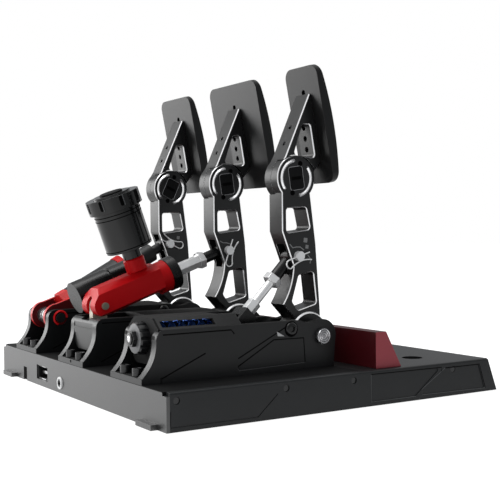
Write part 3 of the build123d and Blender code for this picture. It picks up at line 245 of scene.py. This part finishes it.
# Near-black with little shine, used as painted shade in holes, slots, grooves and gaps; the hub screws and
# the reservoir seam are drawn in it too.
HOLE = material("hole_black", (0.002, 0.002, 0.002), 0.0, 0.9, bump=0.05, spec=0.05)
BRIGHT = material("cut_edge", (0.95, 0.95, 0.96), 0.8, 0.22, vary=0.04)
STEEL = material("steel", (0.70, 0.70, 0.71), 1.0, 0.20, vary=0.08)
DULL = material("dull_steel", (0.34, 0.34, 0.35), 1.0, 0.38, vary=0.15, bump=0.05)
RED = material("red_anodised", (0.60, 0.005, 0.008), 0.05, 0.36, vary=0.06, bump=0.03, spec=0.12)
# The heel stop's red paint: its own colour darkened as painted shade, with the faces that look along X
# painted lighter red as painted light.
SHADED_RED = material("red_paint_shade_and_light", (0.06, 0.0025, 0.005), 0.0, 0.40, vary=0.10, bump=0.04, spec=0.4,
                    cut=(facing(SQUARE_ON), (0.34, 0.045, 0.060, 1), 0.0, 0.45))
CREAM = material("cream_zinc", (0.62, 0.56, 0.46), 0.2, 0.45, vary=0.12, bump=0.05)
BOARD = material("board", (0.01, 0.09, 0.03), 0.0, 0.4)
BLUE = material("blue_spring", (0.10, 0.27, 0.92), 0.6, 0.20, vary=0.08)
# Red fork whose faces that look along X are painted dark red as painted shade.
RED_FORK = material("red_fork_shaded_sides", (0.66, 0.008, 0.008), 0.0, 0.34, vary=0.06, bump=0.03, spec=0.25,
                    cut=(facing(SQUARE_ON), (0.10, 0.002, 0.004, 1), 0.0, 0.5))
ROD = material("rod_steel", (0.93, 0.93, 0.93), 0.5, 0.22, vary=0.04)
CAN = material("can_black", (0.004, 0.0042, 0.0044), 0.0, 0.28, bump=0.02, spec=0.3)
RINGED = material("ringed_steel", (0.006, 0.006, 0.006), 0.0, 0.35, vary=0.08,
                  cut=(stripes("X", 0.0052, 0.22), (0.60, 0.60, 0.61, 1), 0.9, 0.3))
PORT = material("port_shell", (0.010, 0.0102, 0.0105), 0.0, 0.35, vary=0.15,
                cut=(along("X", 0.071, 0.081), (0.50, 0.50, 0.51, 1), 0.8, 0.35))
WHITE = material("white_ring", (0.90, 0.90, 0.90), 0.0, 0.35, vary=0.03)
# Grey of the arm marks, and of the painted highlights on the arms.
MARK = material("grey_mark_and_highlight", (0.22, 0.22, 0.22), 0.0, 0.5, vary=0.1)
SILVER_MARK = material("silver_mark", (0.60, 0.60, 0.60), 0.0, 0.4, vary=0.05)
# Painted highlight: a dark grey for the light caught along raised edges of the covers and of the reservoir
# cap.
EDGE_HIGHLIGHT = material("painted_edge_highlight", (0.07, 0.072, 0.075), 0.0, 0.4, vary=0.1)
# Black anodised knob whose nose-facing face is painted lighter grey as a painted highlight.
KNOB_LOOK = material("knob_anodised_lit_face", (0.008, 0.008, 0.009), 0.0, 0.30, vary=0.15,
                     cut=(along("Y", 0.16792, 0.1685), (0.16, 0.16, 0.165, 1), 0.0, 0.5))
PINS_LOOK = material("pin_black", (0.010, 0.010, 0.011), 0.0, 0.35, spec=0.4,
                     cut=(along("X", -0.06, 0.06), (0.30, 0.28, 0.22, 1), 0.7, 0.4))
FASTENERS = material("pin_silver", (0.90, 0.90, 0.90), 0.4, 0.30, vary=0.05,
                     cut=(along("Z", 0.18, 0.25), (0.006, 0.006, 0.006, 1), 0.0, 0.4))

LOOKS = {}
for look, names in (
    (TRAY, "base_tray"),
    (DECK, "front_deck"),
    (PAINT, "heel_plate strut_barrel strut_rod"),
    (CAN, "brake_canister cylinder_gland link_clevis clutch_rod_end brake_rod_end"),
    (PLASTIC, "side_cover_left side_cover_right heel_cover_left heel_cover_right angle_sensors"),
    (GLOSS, "fluid_reservoir reservoir_cap"),
    (RUBBER, "rubber_feet"),
    (BOARD, "control_board"),
    (RED, "brake_cylinder reservoir_fitting strut_collar"),
    (RED_FORK, "strut_fork"),
    (SHADED_RED, "heel_stop"),
    (WHITE, "round_socket"),
    (PORT, "wide_socket"),
    (DULL, "pivot_axles carriage_pin"),
    (RINGED, "pivot_spacers"),
    (STEEL, "guide_rod"),
    (ROD, "link_rod link_nut brake_push_rod brake_rod_nut"),
    (CREAM, "brake_lug"),
    (KNOB_LOOK, "preload_knob"),
    (BLACK_STEEL, "guide_rod_nut cover_screws frame_bolts clutch_carriage"),
    (PINS_LOOK, "linkage_pins"),
    (BLUE, "clutch_spring"),
):
    for node in names.split():
        LOOKS[node] = look
for pedal in PEDALS:
    for suffix, look in (
        ("_frame", FRAME),
        ("_frame_cover", FRAME),
        ("_lower_arm", ARM),
        ("_upper_arm", ARM),
        ("_face_plate", PLATE),
        ("_arm_fasteners", FASTENERS),
    ):
        LOOKS[pedal + suffix] = look
LOOKS["clutch_frame"] = CLUTCH_FRAME

# Edges of the solids are softened: width in metres and number of steps
EDGE = (0.00035, 2)
COVER_EDGE = (0.0006, 2)
ARM_EDGE = (0.00012, 1)
EDGE_ANGLE = math.radians(32)
FLAT_ANGLE = math.radians(0.5)
WELD_GAP = 0.00001
SPLIT_ANGLE = math.radians(35)


def soften(obj, width, segments):
    """Softens an object's edges."""
    bevel = obj.modifiers.new("bevel", "BEVEL")
    bevel.width = width
    bevel.segments = segments
    bevel.limit_method = "ANGLE"
    bevel.angle_limit = EDGE_ANGLE
    bevel.harden_normals = True
    smooth = obj.modifiers.new("normals", "WEIGHTED_NORMAL")
    smooth.keep_sharp = True


for node, look in LOOKS.items():
    obj = nodes[node]
    obj.data.materials.clear()
    obj.data.materials.append(look)
    weld = obj.modifiers.new("weld", "WELD")
    weld.merge_threshold = WELD_GAP
    flat = obj.modifiers.new("flat", "DECIMATE")
    flat.decimate_type = "DISSOLVE"
    flat.angle_limit = FLAT_ANGLE
    for poly in obj.data.polygons:
        poly.use_smooth = True
    if look is ARM:
        soften(obj, *ARM_EDGE)
    elif node.endswith("_frame_cover"):
        soften(obj, *COVER_EDGE)
    else:
        soften(obj, *EDGE)


# Pieces made in mesh code
def make_piece(name, rings, look, body, smooth=True, closed=False):
    """A skin over rings of points, with a cap on each end unless the rings close on themselves."""
    bm = bmesh.new()
    rings = [[bm.verts.new(point) for point in ring] for ring in rings]
    pairs = list(zip(rings, rings[1:]))
    if closed:
        pairs.append((rings[-1], rings[0]))
    for a, b in pairs:
        for i in range(len(a)):
            j = (i + 1) % len(a)
            bm.faces.new((a[i], a[j], b[j], b[i]))
    if not closed:
        bm.faces.new(rings[0][::-1])
        bm.faces.new(rings[-1])
    bmesh.ops.recalc_face_normals(bm, faces=bm.faces)
    mesh = bpy.data.meshes.new(name)
    bm.to_mesh(mesh)
    bm.free()
    for poly in mesh.polygons:
        poly.use_smooth = smooth
    obj = add_object(name, mesh)
    mesh.materials.append(look)
    if smooth:
        split = obj.modifiers.new("edges", "EDGE_SPLIT")
        split.split_angle = SPLIT_ANGLE
    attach(obj, body)
    return obj


def basis(axis):
    """Two directions square to an axis, and the axis."""
    axis = Vector(axis).normalized()
    u = axis.cross(Vector((0, 0, 1)))
    if u.length < 1e-3:
        u = Vector((1, 0, 0))
    u.normalize()
    return u, axis.cross(u).normalized(), axis


def lathe(name, centre, axis, profile, look, body, sides=48, shape=None):
    """A turned piece: profile points are (radius, distance along the axis), in millimetres.
    shape changes the radius by the step round the axis."""
    u, v, w = basis(axis)
    rings = []
    for radius, station in profile:
        ring = []
        for i in range(sides):
            angle = 2 * math.pi * i / sides
            r = shape(radius, i) if shape else radius
            ring.append(centre + (u * math.cos(angle) * r + v * math.sin(angle) * r + w * station) / 1000)
        rings.append(ring)
    return make_piece(name, rings, look, body)


def plate(name, x, outline, thick, look, body):
    """A flat piece drawn in a side view and extruded along X."""
    rings = [[at(x + dx, s, z) for s, z in outline] for dx in (0.0, thick)]
    return make_piece(name, rings, look, body, smooth=False)


def strip(name, x, wide, setbacks, heights, look):
    """A thin flat strip along the nose wall, between two setbacks and two heights."""
    (near, far), (low, high) = setbacks, heights
    return plate(name, x, ((near, low), (near, high), (far, high), (far, low)), wide, look, "base")


def wire(name, points, radius, look, body, closed=False, sides=8, across=(1, 0, 0)):
    """A thin round wire through points in metres, whose run never lies along across."""
    rings = []
    last = len(points) - 1
    for i, point in enumerate(points):
        before = points[i - 1] if closed or i else point
        after = points[(i + 1) % len(points)] if closed or i < last else point
        run = (after - before).normalized()
        u = run.cross(Vector(across)).normalized()
        v = run.cross(u)
        ring = []
        for k in range(sides):
            angle = 2 * math.pi * k / sides
            ring.append(point + (u * math.cos(angle) + v * math.sin(angle)) * radius / 1000)
        rings.append(ring)
    return make_piece(name, rings, look, body, closed=closed)


def arc_points(centre, radius, start, sweep, steps):
    """Points in a side view on an arc, with its angles in degrees."""
    out = []
    for i in range(steps + 1):
        a = math.radians(start + sweep * i / steps)
        out.append((centre[0] + radius * math.cos(a), centre[1] + radius * math.sin(a)))
    return out


def rounded_loop(centre, width, height, corner, tilt, steps=5):
    """Points in a side view round a rounded rectangle, turned by tilt in degrees."""
    t = math.radians(tilt)
    out = []
    for back, rise, first in ((1, 1, 0), (-1, 1, 90), (-1, -1, 180), (1, -1, 270)):
        middle = (back * (width / 2 - corner), rise * (height / 2 - corner))
        for s, z in arc_points(middle, corner, first, 90, steps):
            out.append((
                centre[0] + s * math.cos(t) - z * math.sin(t),
                centre[1] + s * math.sin(t) + z * math.cos(t),
            ))
    return out


def socket_screw(name, centre, radius, height, hexagon, depth, look, body):
    """A button-head screw with a hexagon recess, standing on a near face."""
    lathe(name, centre, NEARWARD, [
        (radius, 0.0), (radius, height * 0.35), (radius * 0.92, height * 0.7), (radius * 0.72, height),
        (hexagon * 1.12, height), (hexagon, height - 0.3), (hexagon, height - depth),
    ], look, body, sides=36)


def seen_arc(name, x, centre, radius, width, start, sweep, look, body):
    """A ridge along an arc on a face that looks along X."""
    points = [at(x, s, z) for s, z in arc_points(centre, radius, start, sweep, 36)]
    return wire(name, points, width, look, body, sides=4)


MARK_THICK = 0.12


def mark_line(name, x, points, width, look, body):
    """A thin painted line through points of a side view, on a face that looks along X."""
    left, right = [], []
    for i, (s, z) in enumerate(points):
        a, b = points[max(i - 1, 0)], points[min(i + 1, len(points) - 1)]
        run = math.hypot(b[0] - a[0], b[1] - a[1])
        out = (-(b[1] - a[1]) / run * width / 2, (b[0] - a[0]) / run * width / 2)
        left.append((s + out[0], z + out[1]))
        right.append((s - out[0], z - out[1]))
    return plate(name, x, left + right[::-1], MARK_THICK, look, body)


# Hubs: bright arcs, a pocket with its rim and a black slot drawn as painted shade, and two screws.
# Sizes of the loops are (width, height, corner radius).
ARC_STARTS = (100.0, -79.0)
POCKET_TILTS = {"clutch": 8.0, "brake": 8.0, "throttle": -25.0}
POCKET_RIM = (15.6, 21.4, 2.5)
POCKET_FLOOR = (15.0, 20.8, 2.2)
POCKET_SLOT = (11.0, 3.0, 0.8)
POCKET_THICK = 0.2
HUB_SCREWS = (72.0, 252.0)
HUB_SCREW_CIRCLE = 14.2

# Marks and painted highlights on the near face of each lower arm: squares as (setback, height, size), and
# strokes; the first stroke of the clutch and of the brake is a painted highlight along a raised edge near
# the pin
SQUARES = {
    "clutch": ((178.4, 147.9, 4.2), (180.0, 141.8, 3.4)),
    "brake": (),
    "throttle": ((177.3, 149.5, 3.6),),
}
SQUARE_CORNER, SQUARE_TILT = 0.3, -8.0
STROKES = {
    "clutch": (
        ((160.7, 144.6), (164.0, 141.1), (168.2, 141.8), (172.4, 141.7), (176.6, 138.8)),
        ((180.8, 134.3), (184.2, 130.0), (183.3, 126.2)),
    ),
    "brake": (((159.7, 146.7), (163.3, 144.8), (167.8, 144.7), (172.2, 143.4), (174.0, 141.0)),),
    "throttle": (),
}
STROKE_WIDTH = 1.0
ARM_LIFT = 0.05  # how far the marks stand out of the arms
for pedal, x in PEDALS.items():
    near = x - ARM_FACE
    body = pedal + "_pedal"
    tilt = POCKET_TILTS[pedal]
    for i, start in enumerate(ARC_STARTS):
        seen_arc(f"{pedal}_hub_arc_{i + 1}", near + 0.35, HUB, radius=16.1, width=1.5,
                 start=start, sweep=117.0, look=BRIGHT, body=body)
    rim = [at(near, s, z) for s, z in rounded_loop(HUB, *POCKET_RIM, tilt)]
    floor_loop = rounded_loop(HUB, *POCKET_FLOOR, tilt)
    slot_loop = rounded_loop(HUB, *POCKET_SLOT, tilt)
    wire(f"{pedal}_pocket_rim", rim, 0.28, DULL, body, closed=True)
    plate(f"{pedal}_pocket", near - 0.1, floor_loop, POCKET_THICK, DECK, body)
    # The black slot in the pocket is painted shade.
    plate(f"{pedal}_pocket_slot", near - 0.15, slot_loop, POCKET_THICK, HOLE, body)
    for i, angle in enumerate(HUB_SCREWS):
        a = math.radians(angle)
        s = HUB[0] + HUB_SCREW_CIRCLE * math.cos(a)
        z = HUB[1] + HUB_SCREW_CIRCLE * math.sin(a)
        socket_screw(f"{pedal}_hub_screw_{i + 1}", at(near + 0.3, s, z), radius=2.5, height=0.9,
                     hexagon=1.7, depth=0.85, look=HOLE, body=body)
    for i, (s, z, size) in enumerate(SQUARES[pedal]):
        square = rounded_loop((s, z), size, size, SQUARE_CORNER, SQUARE_TILT, steps=2)
        plate(f"{pedal}_arm_mark_{i + 1}", near - ARM_LIFT, square, MARK_THICK, MARK, body)
    for i, points in enumerate(STROKES[pedal]):
        mark_line(f"{pedal}_arm_stroke_{i + 1}", near - ARM_LIFT, points, STROKE_WIDTH, MARK, body)

# Pivot bolts with their turned rings, and lock screws, each ringed in black as painted shadow
BOLT_HEAD = 3.2  # how far the bolts' heads stand out of the covers
RING_RADII = (6.3, 4.4, 2.4)
for pedal, x in PEDALS.items():
    skin = x - COVER_FACE
    face = skin - BOLT_HEAD
    lathe(f"{pedal}_pivot_washer", at(face, *AXLE), NEARWARD, [(7.2, 0.0), (7.2, 0.4), (6.8, 0.6)],
          DULL, "base")
    for i, radius in enumerate(RING_RADII):
        points = [at(face - 0.5, s, z) for s, z in arc_points(AXLE, radius, 0.0, 350.0, 35)]
        wire(f"{pedal}_pivot_ring_{i + 1}", points, 0.62, STEEL, "base", closed=True)
    # A black ring round each lock screw: painted shadow of its recess.
    lathe(f"{pedal}_lock_shadow_ring", at(skin, *LOCK), NEARWARD, [(7.1, -0.2), (7.1, 0.15)], HOLE, "base")
    socket_screw(f"{pedal}_lock_screw", at(skin, *LOCK), radius=6.2, height=2.2,
                 hexagon=2.6, depth=1.6, look=GLOSS, body="base")

# Trim of the nose wall, painted shade in its slot and in the round socket's bore, and single marks on the
# covers
DECK_SIDE = 193.0
COVER_TRIANGLE = ((132.6, 67.6), (140.6, 63.1), (133.4, 63.5))
lathe("flange_dot", at(-1.8, 0.05, 35.0), NOSEWARD, [(1.4, 0.0), (1.4, 0.15)], HOLE, "base", sides=24)
strip("deck_lip", -DECK_SIDE, 2 * DECK_SIDE, (-0.08, 0.2), (28.9, 31.5), TRAY)
# A black sheet inside the tray's slot: painted shade.
strip("slot_shade", 124.5, 8.2, (0.3, 0.5), (1.4, 15.6), HOLE)
# A black disc in the round socket's bore: painted shade.
lathe("socket_bore_shade", at(26.0, -1.5, 10.5), NOSEWARD, [(2.6, -0.1), (2.6, 0.1)], HOLE, "base", sides=32)
plate("cover_mark", PEDALS["clutch"] - COVER_FACE - 0.05, COVER_TRIANGLE, MARK_THICK, SILVER_MARK, "base")
seen_arc("strut_ring", PEDALS["throttle"] - COVER_FACE - 0.3, STRUT, radius=6.9, width=1.2,
         start=0.0, sweep=250.0, look=RED, body="base")

# Painted shade along the frame covers' grooves, and a painted highlight along their lower edge
GROOVES = (
    ((18.5, 36.0), (60.0, 54.0)),
    ((92.3, 46.9), (147.0, 73.5)),
    ((20.0, 72.0), (85.6, 72.2), (88.5, 68.6)),
    ((92.2, 40.1), (129.3, 60.7), (161.4, 60.3), (162.8, 38.7)),
)
GROOVE_WIDTH = 1.1
LOWER_EDGE = ((162.0, 38.0), (93.2, 36.3), (91.6, 38.2))
LOWER_EDGE_WIDTH = 0.5
COVER_LIFT = 0.04  # how far the lines stand out of the covers
for pedal, x in PEDALS.items():
    line_x = x - COVER_FACE - COVER_LIFT
    for i, points in enumerate(GROOVES):
        mark_line(f"{pedal}_cover_groove_shade_{i + 1}", line_x, points, GROOVE_WIDTH, HOLE, "base")
    mark_line(f"{pedal}_cover_rim_highlight", line_x, LOWER_EDGE, LOWER_EDGE_WIDTH, EDGE_HIGHLIGHT, "base")

# Panel lines on the heel covers, dark ones as painted shade along the panels' upper and right edges and
# light ones as painted highlight along their lower and left edges: points as shares of a cover's length
# and height, width and look
HEEL_FRONT, HEEL_LENGTH = 195.5, 152.8
HEEL_FOOT, HEEL_HEIGHT = 0.6, 31.4
HEEL_PANELS = (
    (((0.05, 0.9), (0.05, 0.12), (0.39, 0.12)), 0.5, EDGE_HIGHLIGHT),
    (((0.63, 0.85), (0.44, 0.3), (0.44, 0.14), (0.97, 0.1)), 0.5, EDGE_HIGHLIGHT),
    (((0.97, 0.1), (0.92, 0.85), (0.63, 0.85)), 0.9, HOLE),
    (((0.05, 0.9), (0.60, 0.88), (0.60, 0.76)), 0.8, HOLE),
)
for side_name, x in (("left", -BASE_SIDE), ("right", BASE_SIDE)):
    for i, (shares, width, look) in enumerate(HEEL_PANELS):
        points = [(HEEL_FRONT + HEEL_LENGTH * run, HEEL_FOOT + HEEL_HEIGHT * rise) for run, rise in shares]
        mark_line(f"heel_panel_line_{side_name}_{i + 1}", x - MARK_THICK / 2, points, width, look, "base")

# Clutch preload knob with its notched grip
NOTCH_RADIUS = 12.6
KNOB_SIDES = 96
NOTCH_PITCH, NOTCH_RUN = 8, 3  # of the knob's sides


def notched(radius, i):
    """Twelve notches round a grip, as deep as the rim allows."""
    return min(radius, NOTCH_RADIUS) if i % NOTCH_PITCH < NOTCH_RUN else radius


clutch_x = PEDALS["clutch"]
knob = lathe("knob", at(clutch_x, 17.5, GUIDE), NOSEWARD, [
    (8.0, 0.0), (13.8, 0.0), (13.8, 7.6), (12.6, 8.9), (12.4, 9.0), (7.9, 9.0),
], KNOB_LOOK, "base", sides=KNOB_SIDES, shape=notched)
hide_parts("preload_knob")
rod_end = at(clutch_x, 4.4, GUIDE)
lathe("guide_rod_ring", rod_end, NOSEWARD, [(5.0, -1.0), (5.0, 0.9), (4.6, 1.0), (2.8, 1.0)],
      BLACK_STEEL, "clutch_slider", sides=40)
lathe("guide_rod_core", rod_end, NOSEWARD, [(2.7, 0.9), (2.7, 1.1), (2.4, 1.2)],
      STEEL, "clutch_slider", sides=40)

# Clutch spring with closed end coils
TURNS, STEPS = 8, 32
COIL, WIRE = 13.2, 1.8
SPRING_NOSE, SPRING_HEEL = 24.3, 90.1
CLOSED = 2.1 * WIRE
OPEN_TURNS = TURNS - 2
OPEN_LENGTH = SPRING_HEEL - SPRING_NOSE - 2 * CLOSED
coil_points = []
for i in range(TURNS * STEPS + 1):
    turn = i / STEPS
    middle = min(max(turn - 1, 0.0), OPEN_TURNS) / OPEN_TURNS
    ends = min(turn, 1.0) + max(turn - (TURNS - 1), 0.0)
    s = SPRING_NOSE + CLOSED * ends + OPEN_LENGTH * middle
    a = 2 * math.pi * turn
    coil_points.append(at(clutch_x + COIL * math.cos(a), s, GUIDE + COIL * math.sin(a)))
spring = wire("spring_coil", coil_points, WIRE, BLUE, "base", sides=10, across=(0, 1, 0))
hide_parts("clutch_spring")
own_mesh(spring)

# The reservoir's own directions, and the place where it stands on the cylinder
TILT = math.atan2(BRAKE_PIN[1] - CYLINDER[1], BRAKE_PIN[0] - CYLINDER[0])
ALONG = Vector((0, -math.cos(TILT), math.sin(TILT)))
UPRIGHT = Vector((0, math.sin(TILT), math.cos(TILT)))
FOOT = at(0, *CYLINDER) + ALONG * 0.0503
RESERVOIR_BODY = "brake_cylinder_group"


def outward_at(degrees):
    """The direction out of the reservoir's side at an angle round it."""
    a = math.radians(degrees)
    return Vector((1, 0, 0)) * math.cos(a) + ALONG * math.sin(a)


def slot_bar(name, centre, length, width, deep, outward, look):
    """A round-ended upright bar let into the reservoir's side."""
    across = UPRIGHT.cross(outward)
    rings = []
    for lift in (-deep / 2, deep / 2):
        ring = []
        for end, first in ((1, 0), (-1, 180)):
            for k in range(7):
                a = math.radians(first + 30 * k)
                run = end * (length - width) / 2 + width / 2 * math.sin(a)
                spot = centre + (UPRIGHT * run + across * width / 2 * math.cos(a) + outward * lift) / 1000
                ring.append(spot)
        rings.append(ring)
    return make_piece(name, rings, look, RESERVOIR_BODY, smooth=False)


# Grip slots of the cap, black as painted shade, with a ridge beside each in painted highlight; its raised
# disc, a seam, and black rings as painted shade in the body's grooves; heights in metres
CAP_SLOTS, FIRST_SLOT = 8, 7.5
CAP_RADIUS, SLOT_HEIGHT, RIDGE_OFFSET = 0.0265, 0.0895, 0.0023
SEAM_ANGLE, SEAM_RADIUS, SEAM_HEIGHT = 158, 0.023, 0.059
CAP_TOP = 0.0965
RING_HEIGHTS_MM = (77.5, 74.0, 42.5)
for i in range(CAP_SLOTS):
    outward = outward_at(FIRST_SLOT + 360 / CAP_SLOTS * i)
    centre = FOOT + UPRIGHT * SLOT_HEIGHT + outward * CAP_RADIUS
    slot_bar(f"cap_slot_{i + 1}", centre, length=10.0, width=3.3, deep=0.4, outward=outward, look=HOLE)
    ridge = centre + UPRIGHT.cross(outward) * RIDGE_OFFSET
    slot_bar(f"cap_ridge_{i + 1}", ridge, length=10.4, width=0.9, deep=1.2, outward=outward, look=EDGE_HIGHLIGHT)
lathe("cap_disc", FOOT + UPRIGHT * CAP_TOP, UPRIGHT, [(11.5, -0.3), (11.5, 0.9), (10.8, 1.5), (0.6, 1.6)],
      DECK, RESERVOIR_BODY, sides=64)
outward = outward_at(SEAM_ANGLE)
slot_bar("reservoir_seam", FOOT + UPRIGHT * SEAM_HEIGHT + outward * SEAM_RADIUS,
         length=30.0, width=1.0, deep=0.3, outward=outward, look=HOLE)
for i, height in enumerate(RING_HEIGHTS_MM):
    lathe(f"reservoir_ring_{i + 1}", FOOT + UPRIGHT * height / 1000, UPRIGHT,
          [(22.6, -0.5), (23.2, -0.4), (23.2, 0.4), (22.6, 0.5)], HOLE, RESERVOIR_BODY, sides=96)


# Floor, backdrop and light
def shown(tree, reflected):
    """1 for rays that see the white backdrop: from the camera, through glass, or from a reflection
    as far as reflected says."""
    rays = new_node(tree, "LightPath", {}).outputs
    share = compute(tree, "MULTIPLY", rays["Is Glossy Ray"], reflected)
    share = compute(tree, "MAXIMUM", share, rays["Is Camera Ray"])
    return compute(tree, "MAXIMUM", share, rays["Is Transmission Ray"])


def fade(tree, vector, toward, start, end, least):
    """1 on the backdrop's side, falling to least on the side where the studio is dark."""
    inputs = {0: vector, 1: toward}
    dot = new_node(tree, "VectorMath", inputs, operation="DOT_PRODUCT").outputs["Value"]
    inputs = {"Value": dot, "From Min": start, "From Max": end, "To Min": 1.0, "To Max": least}
    return new_node(tree, "MapRange", inputs, interpolation_type="SMOOTHSTEP").outputs["Result"]


WHITE_LIGHT = (1, 1, 1, 1)
DARK_SIDE = (-0.93, -0.365, 0.0)
DARK_ABOVE = (0.90, -0.33, 0.28)
world = bpy.data.worlds.new("world")
bpy.context.scene.world = world
world.use_nodes = True
tree = world.node_tree
fill = tree.nodes["Background"]
feed(tree, fill, {"Color": (0.94, 0.97, 1.0, 1), "Strength": 0.40})
backdrop = new_node(tree, "Background", {"Color": WHITE_LIGHT})
direction = new_node(tree, "TexCoord", {}).outputs["Generated"]
reflected = compute(tree, "MULTIPLY", fade(tree, direction, DARK_SIDE, start=0.0, end=0.8, least=0.0),
                    fade(tree, direction, DARK_ABOVE, start=0.78, end=0.91, least=0.05))
sky = new_node(tree, "MixShader", {
    "Fac": shown(tree, reflected), 1: fill.outputs["Background"], 2: backdrop.outputs["Background"],
})
feed(tree, tree.nodes["World Output"], {"Surface": sky.outputs["Shader"]})

FLOOR_SIDE = 6
floor_mesh = bpy.data.meshes.new("floor")
floor_mesh.from_pydata([
    (-FLOOR_SIDE, -FLOOR_SIDE, 0), (FLOOR_SIDE, -FLOOR_SIDE, 0),
    (FLOOR_SIDE, FLOOR_SIDE, 0), (-FLOOR_SIDE, FLOOR_SIDE, 0),
], [], [(0, 1, 2, 3)])
floor = add_object("floor", floor_mesh)
pale = bpy.data.materials.new("floor")
pale.use_nodes = True
tree = pale.node_tree
matt = tree.nodes["Principled BSDF"]
feed(tree, matt, {"Base Color": (0.80, 0.80, 0.80, 1), "Roughness": 0.9, "Specular IOR Level": 0.1})
glow = new_node(tree, "Emission", {"Color": WHITE_LIGHT, "Strength": 0.90}).outputs["Emission"]
shadow = new_node(tree, "BsdfDiffuse", {"Color": (0.42, 0.42, 0.42, 1)}).outputs["BSDF"]
lit = new_node(tree, "AddShader", {0: glow, 1: shadow}).outputs["Shader"]
place = new_node(tree, "TexCoord", {}).outputs["Object"]
reflected = fade(tree, place, DARK_SIDE, start=0.0, end=0.5, least=0.25)
both = new_node(tree, "MixShader", {"Fac": shown(tree, reflected), 1: matt.outputs["BSDF"], 2: lit})
feed(tree, tree.nodes["Material Output"], {"Surface": both.outputs["Shader"]})
floor.data.materials.append(pale)


def lamp(name, spot, aim, power, size=1.3):
    """A soft square lamp aimed at a point, with its power in watts."""
    data = bpy.data.lights.new(name, "AREA")
    data.shape = "SQUARE"
    data.size = size
    data.energy = power
    obj = add_object(name, data)
    obj.location = spot
    obj.rotation_mode = "QUATERNION"
    obj.rotation_quaternion = (Vector(spot) - Vector(aim)).to_track_quat("Z", "Y")


lamp("nose_light", spot=(2.0, 1.15, 0.55), aim=(0, 0.1, 0.10), power=22)
lamp("top_light", spot=(0.2, 0.6, 1.8), aim=(0, 0, 0.05), power=20)

bpy.context.scene.view_settings.view_transform = "Standard"
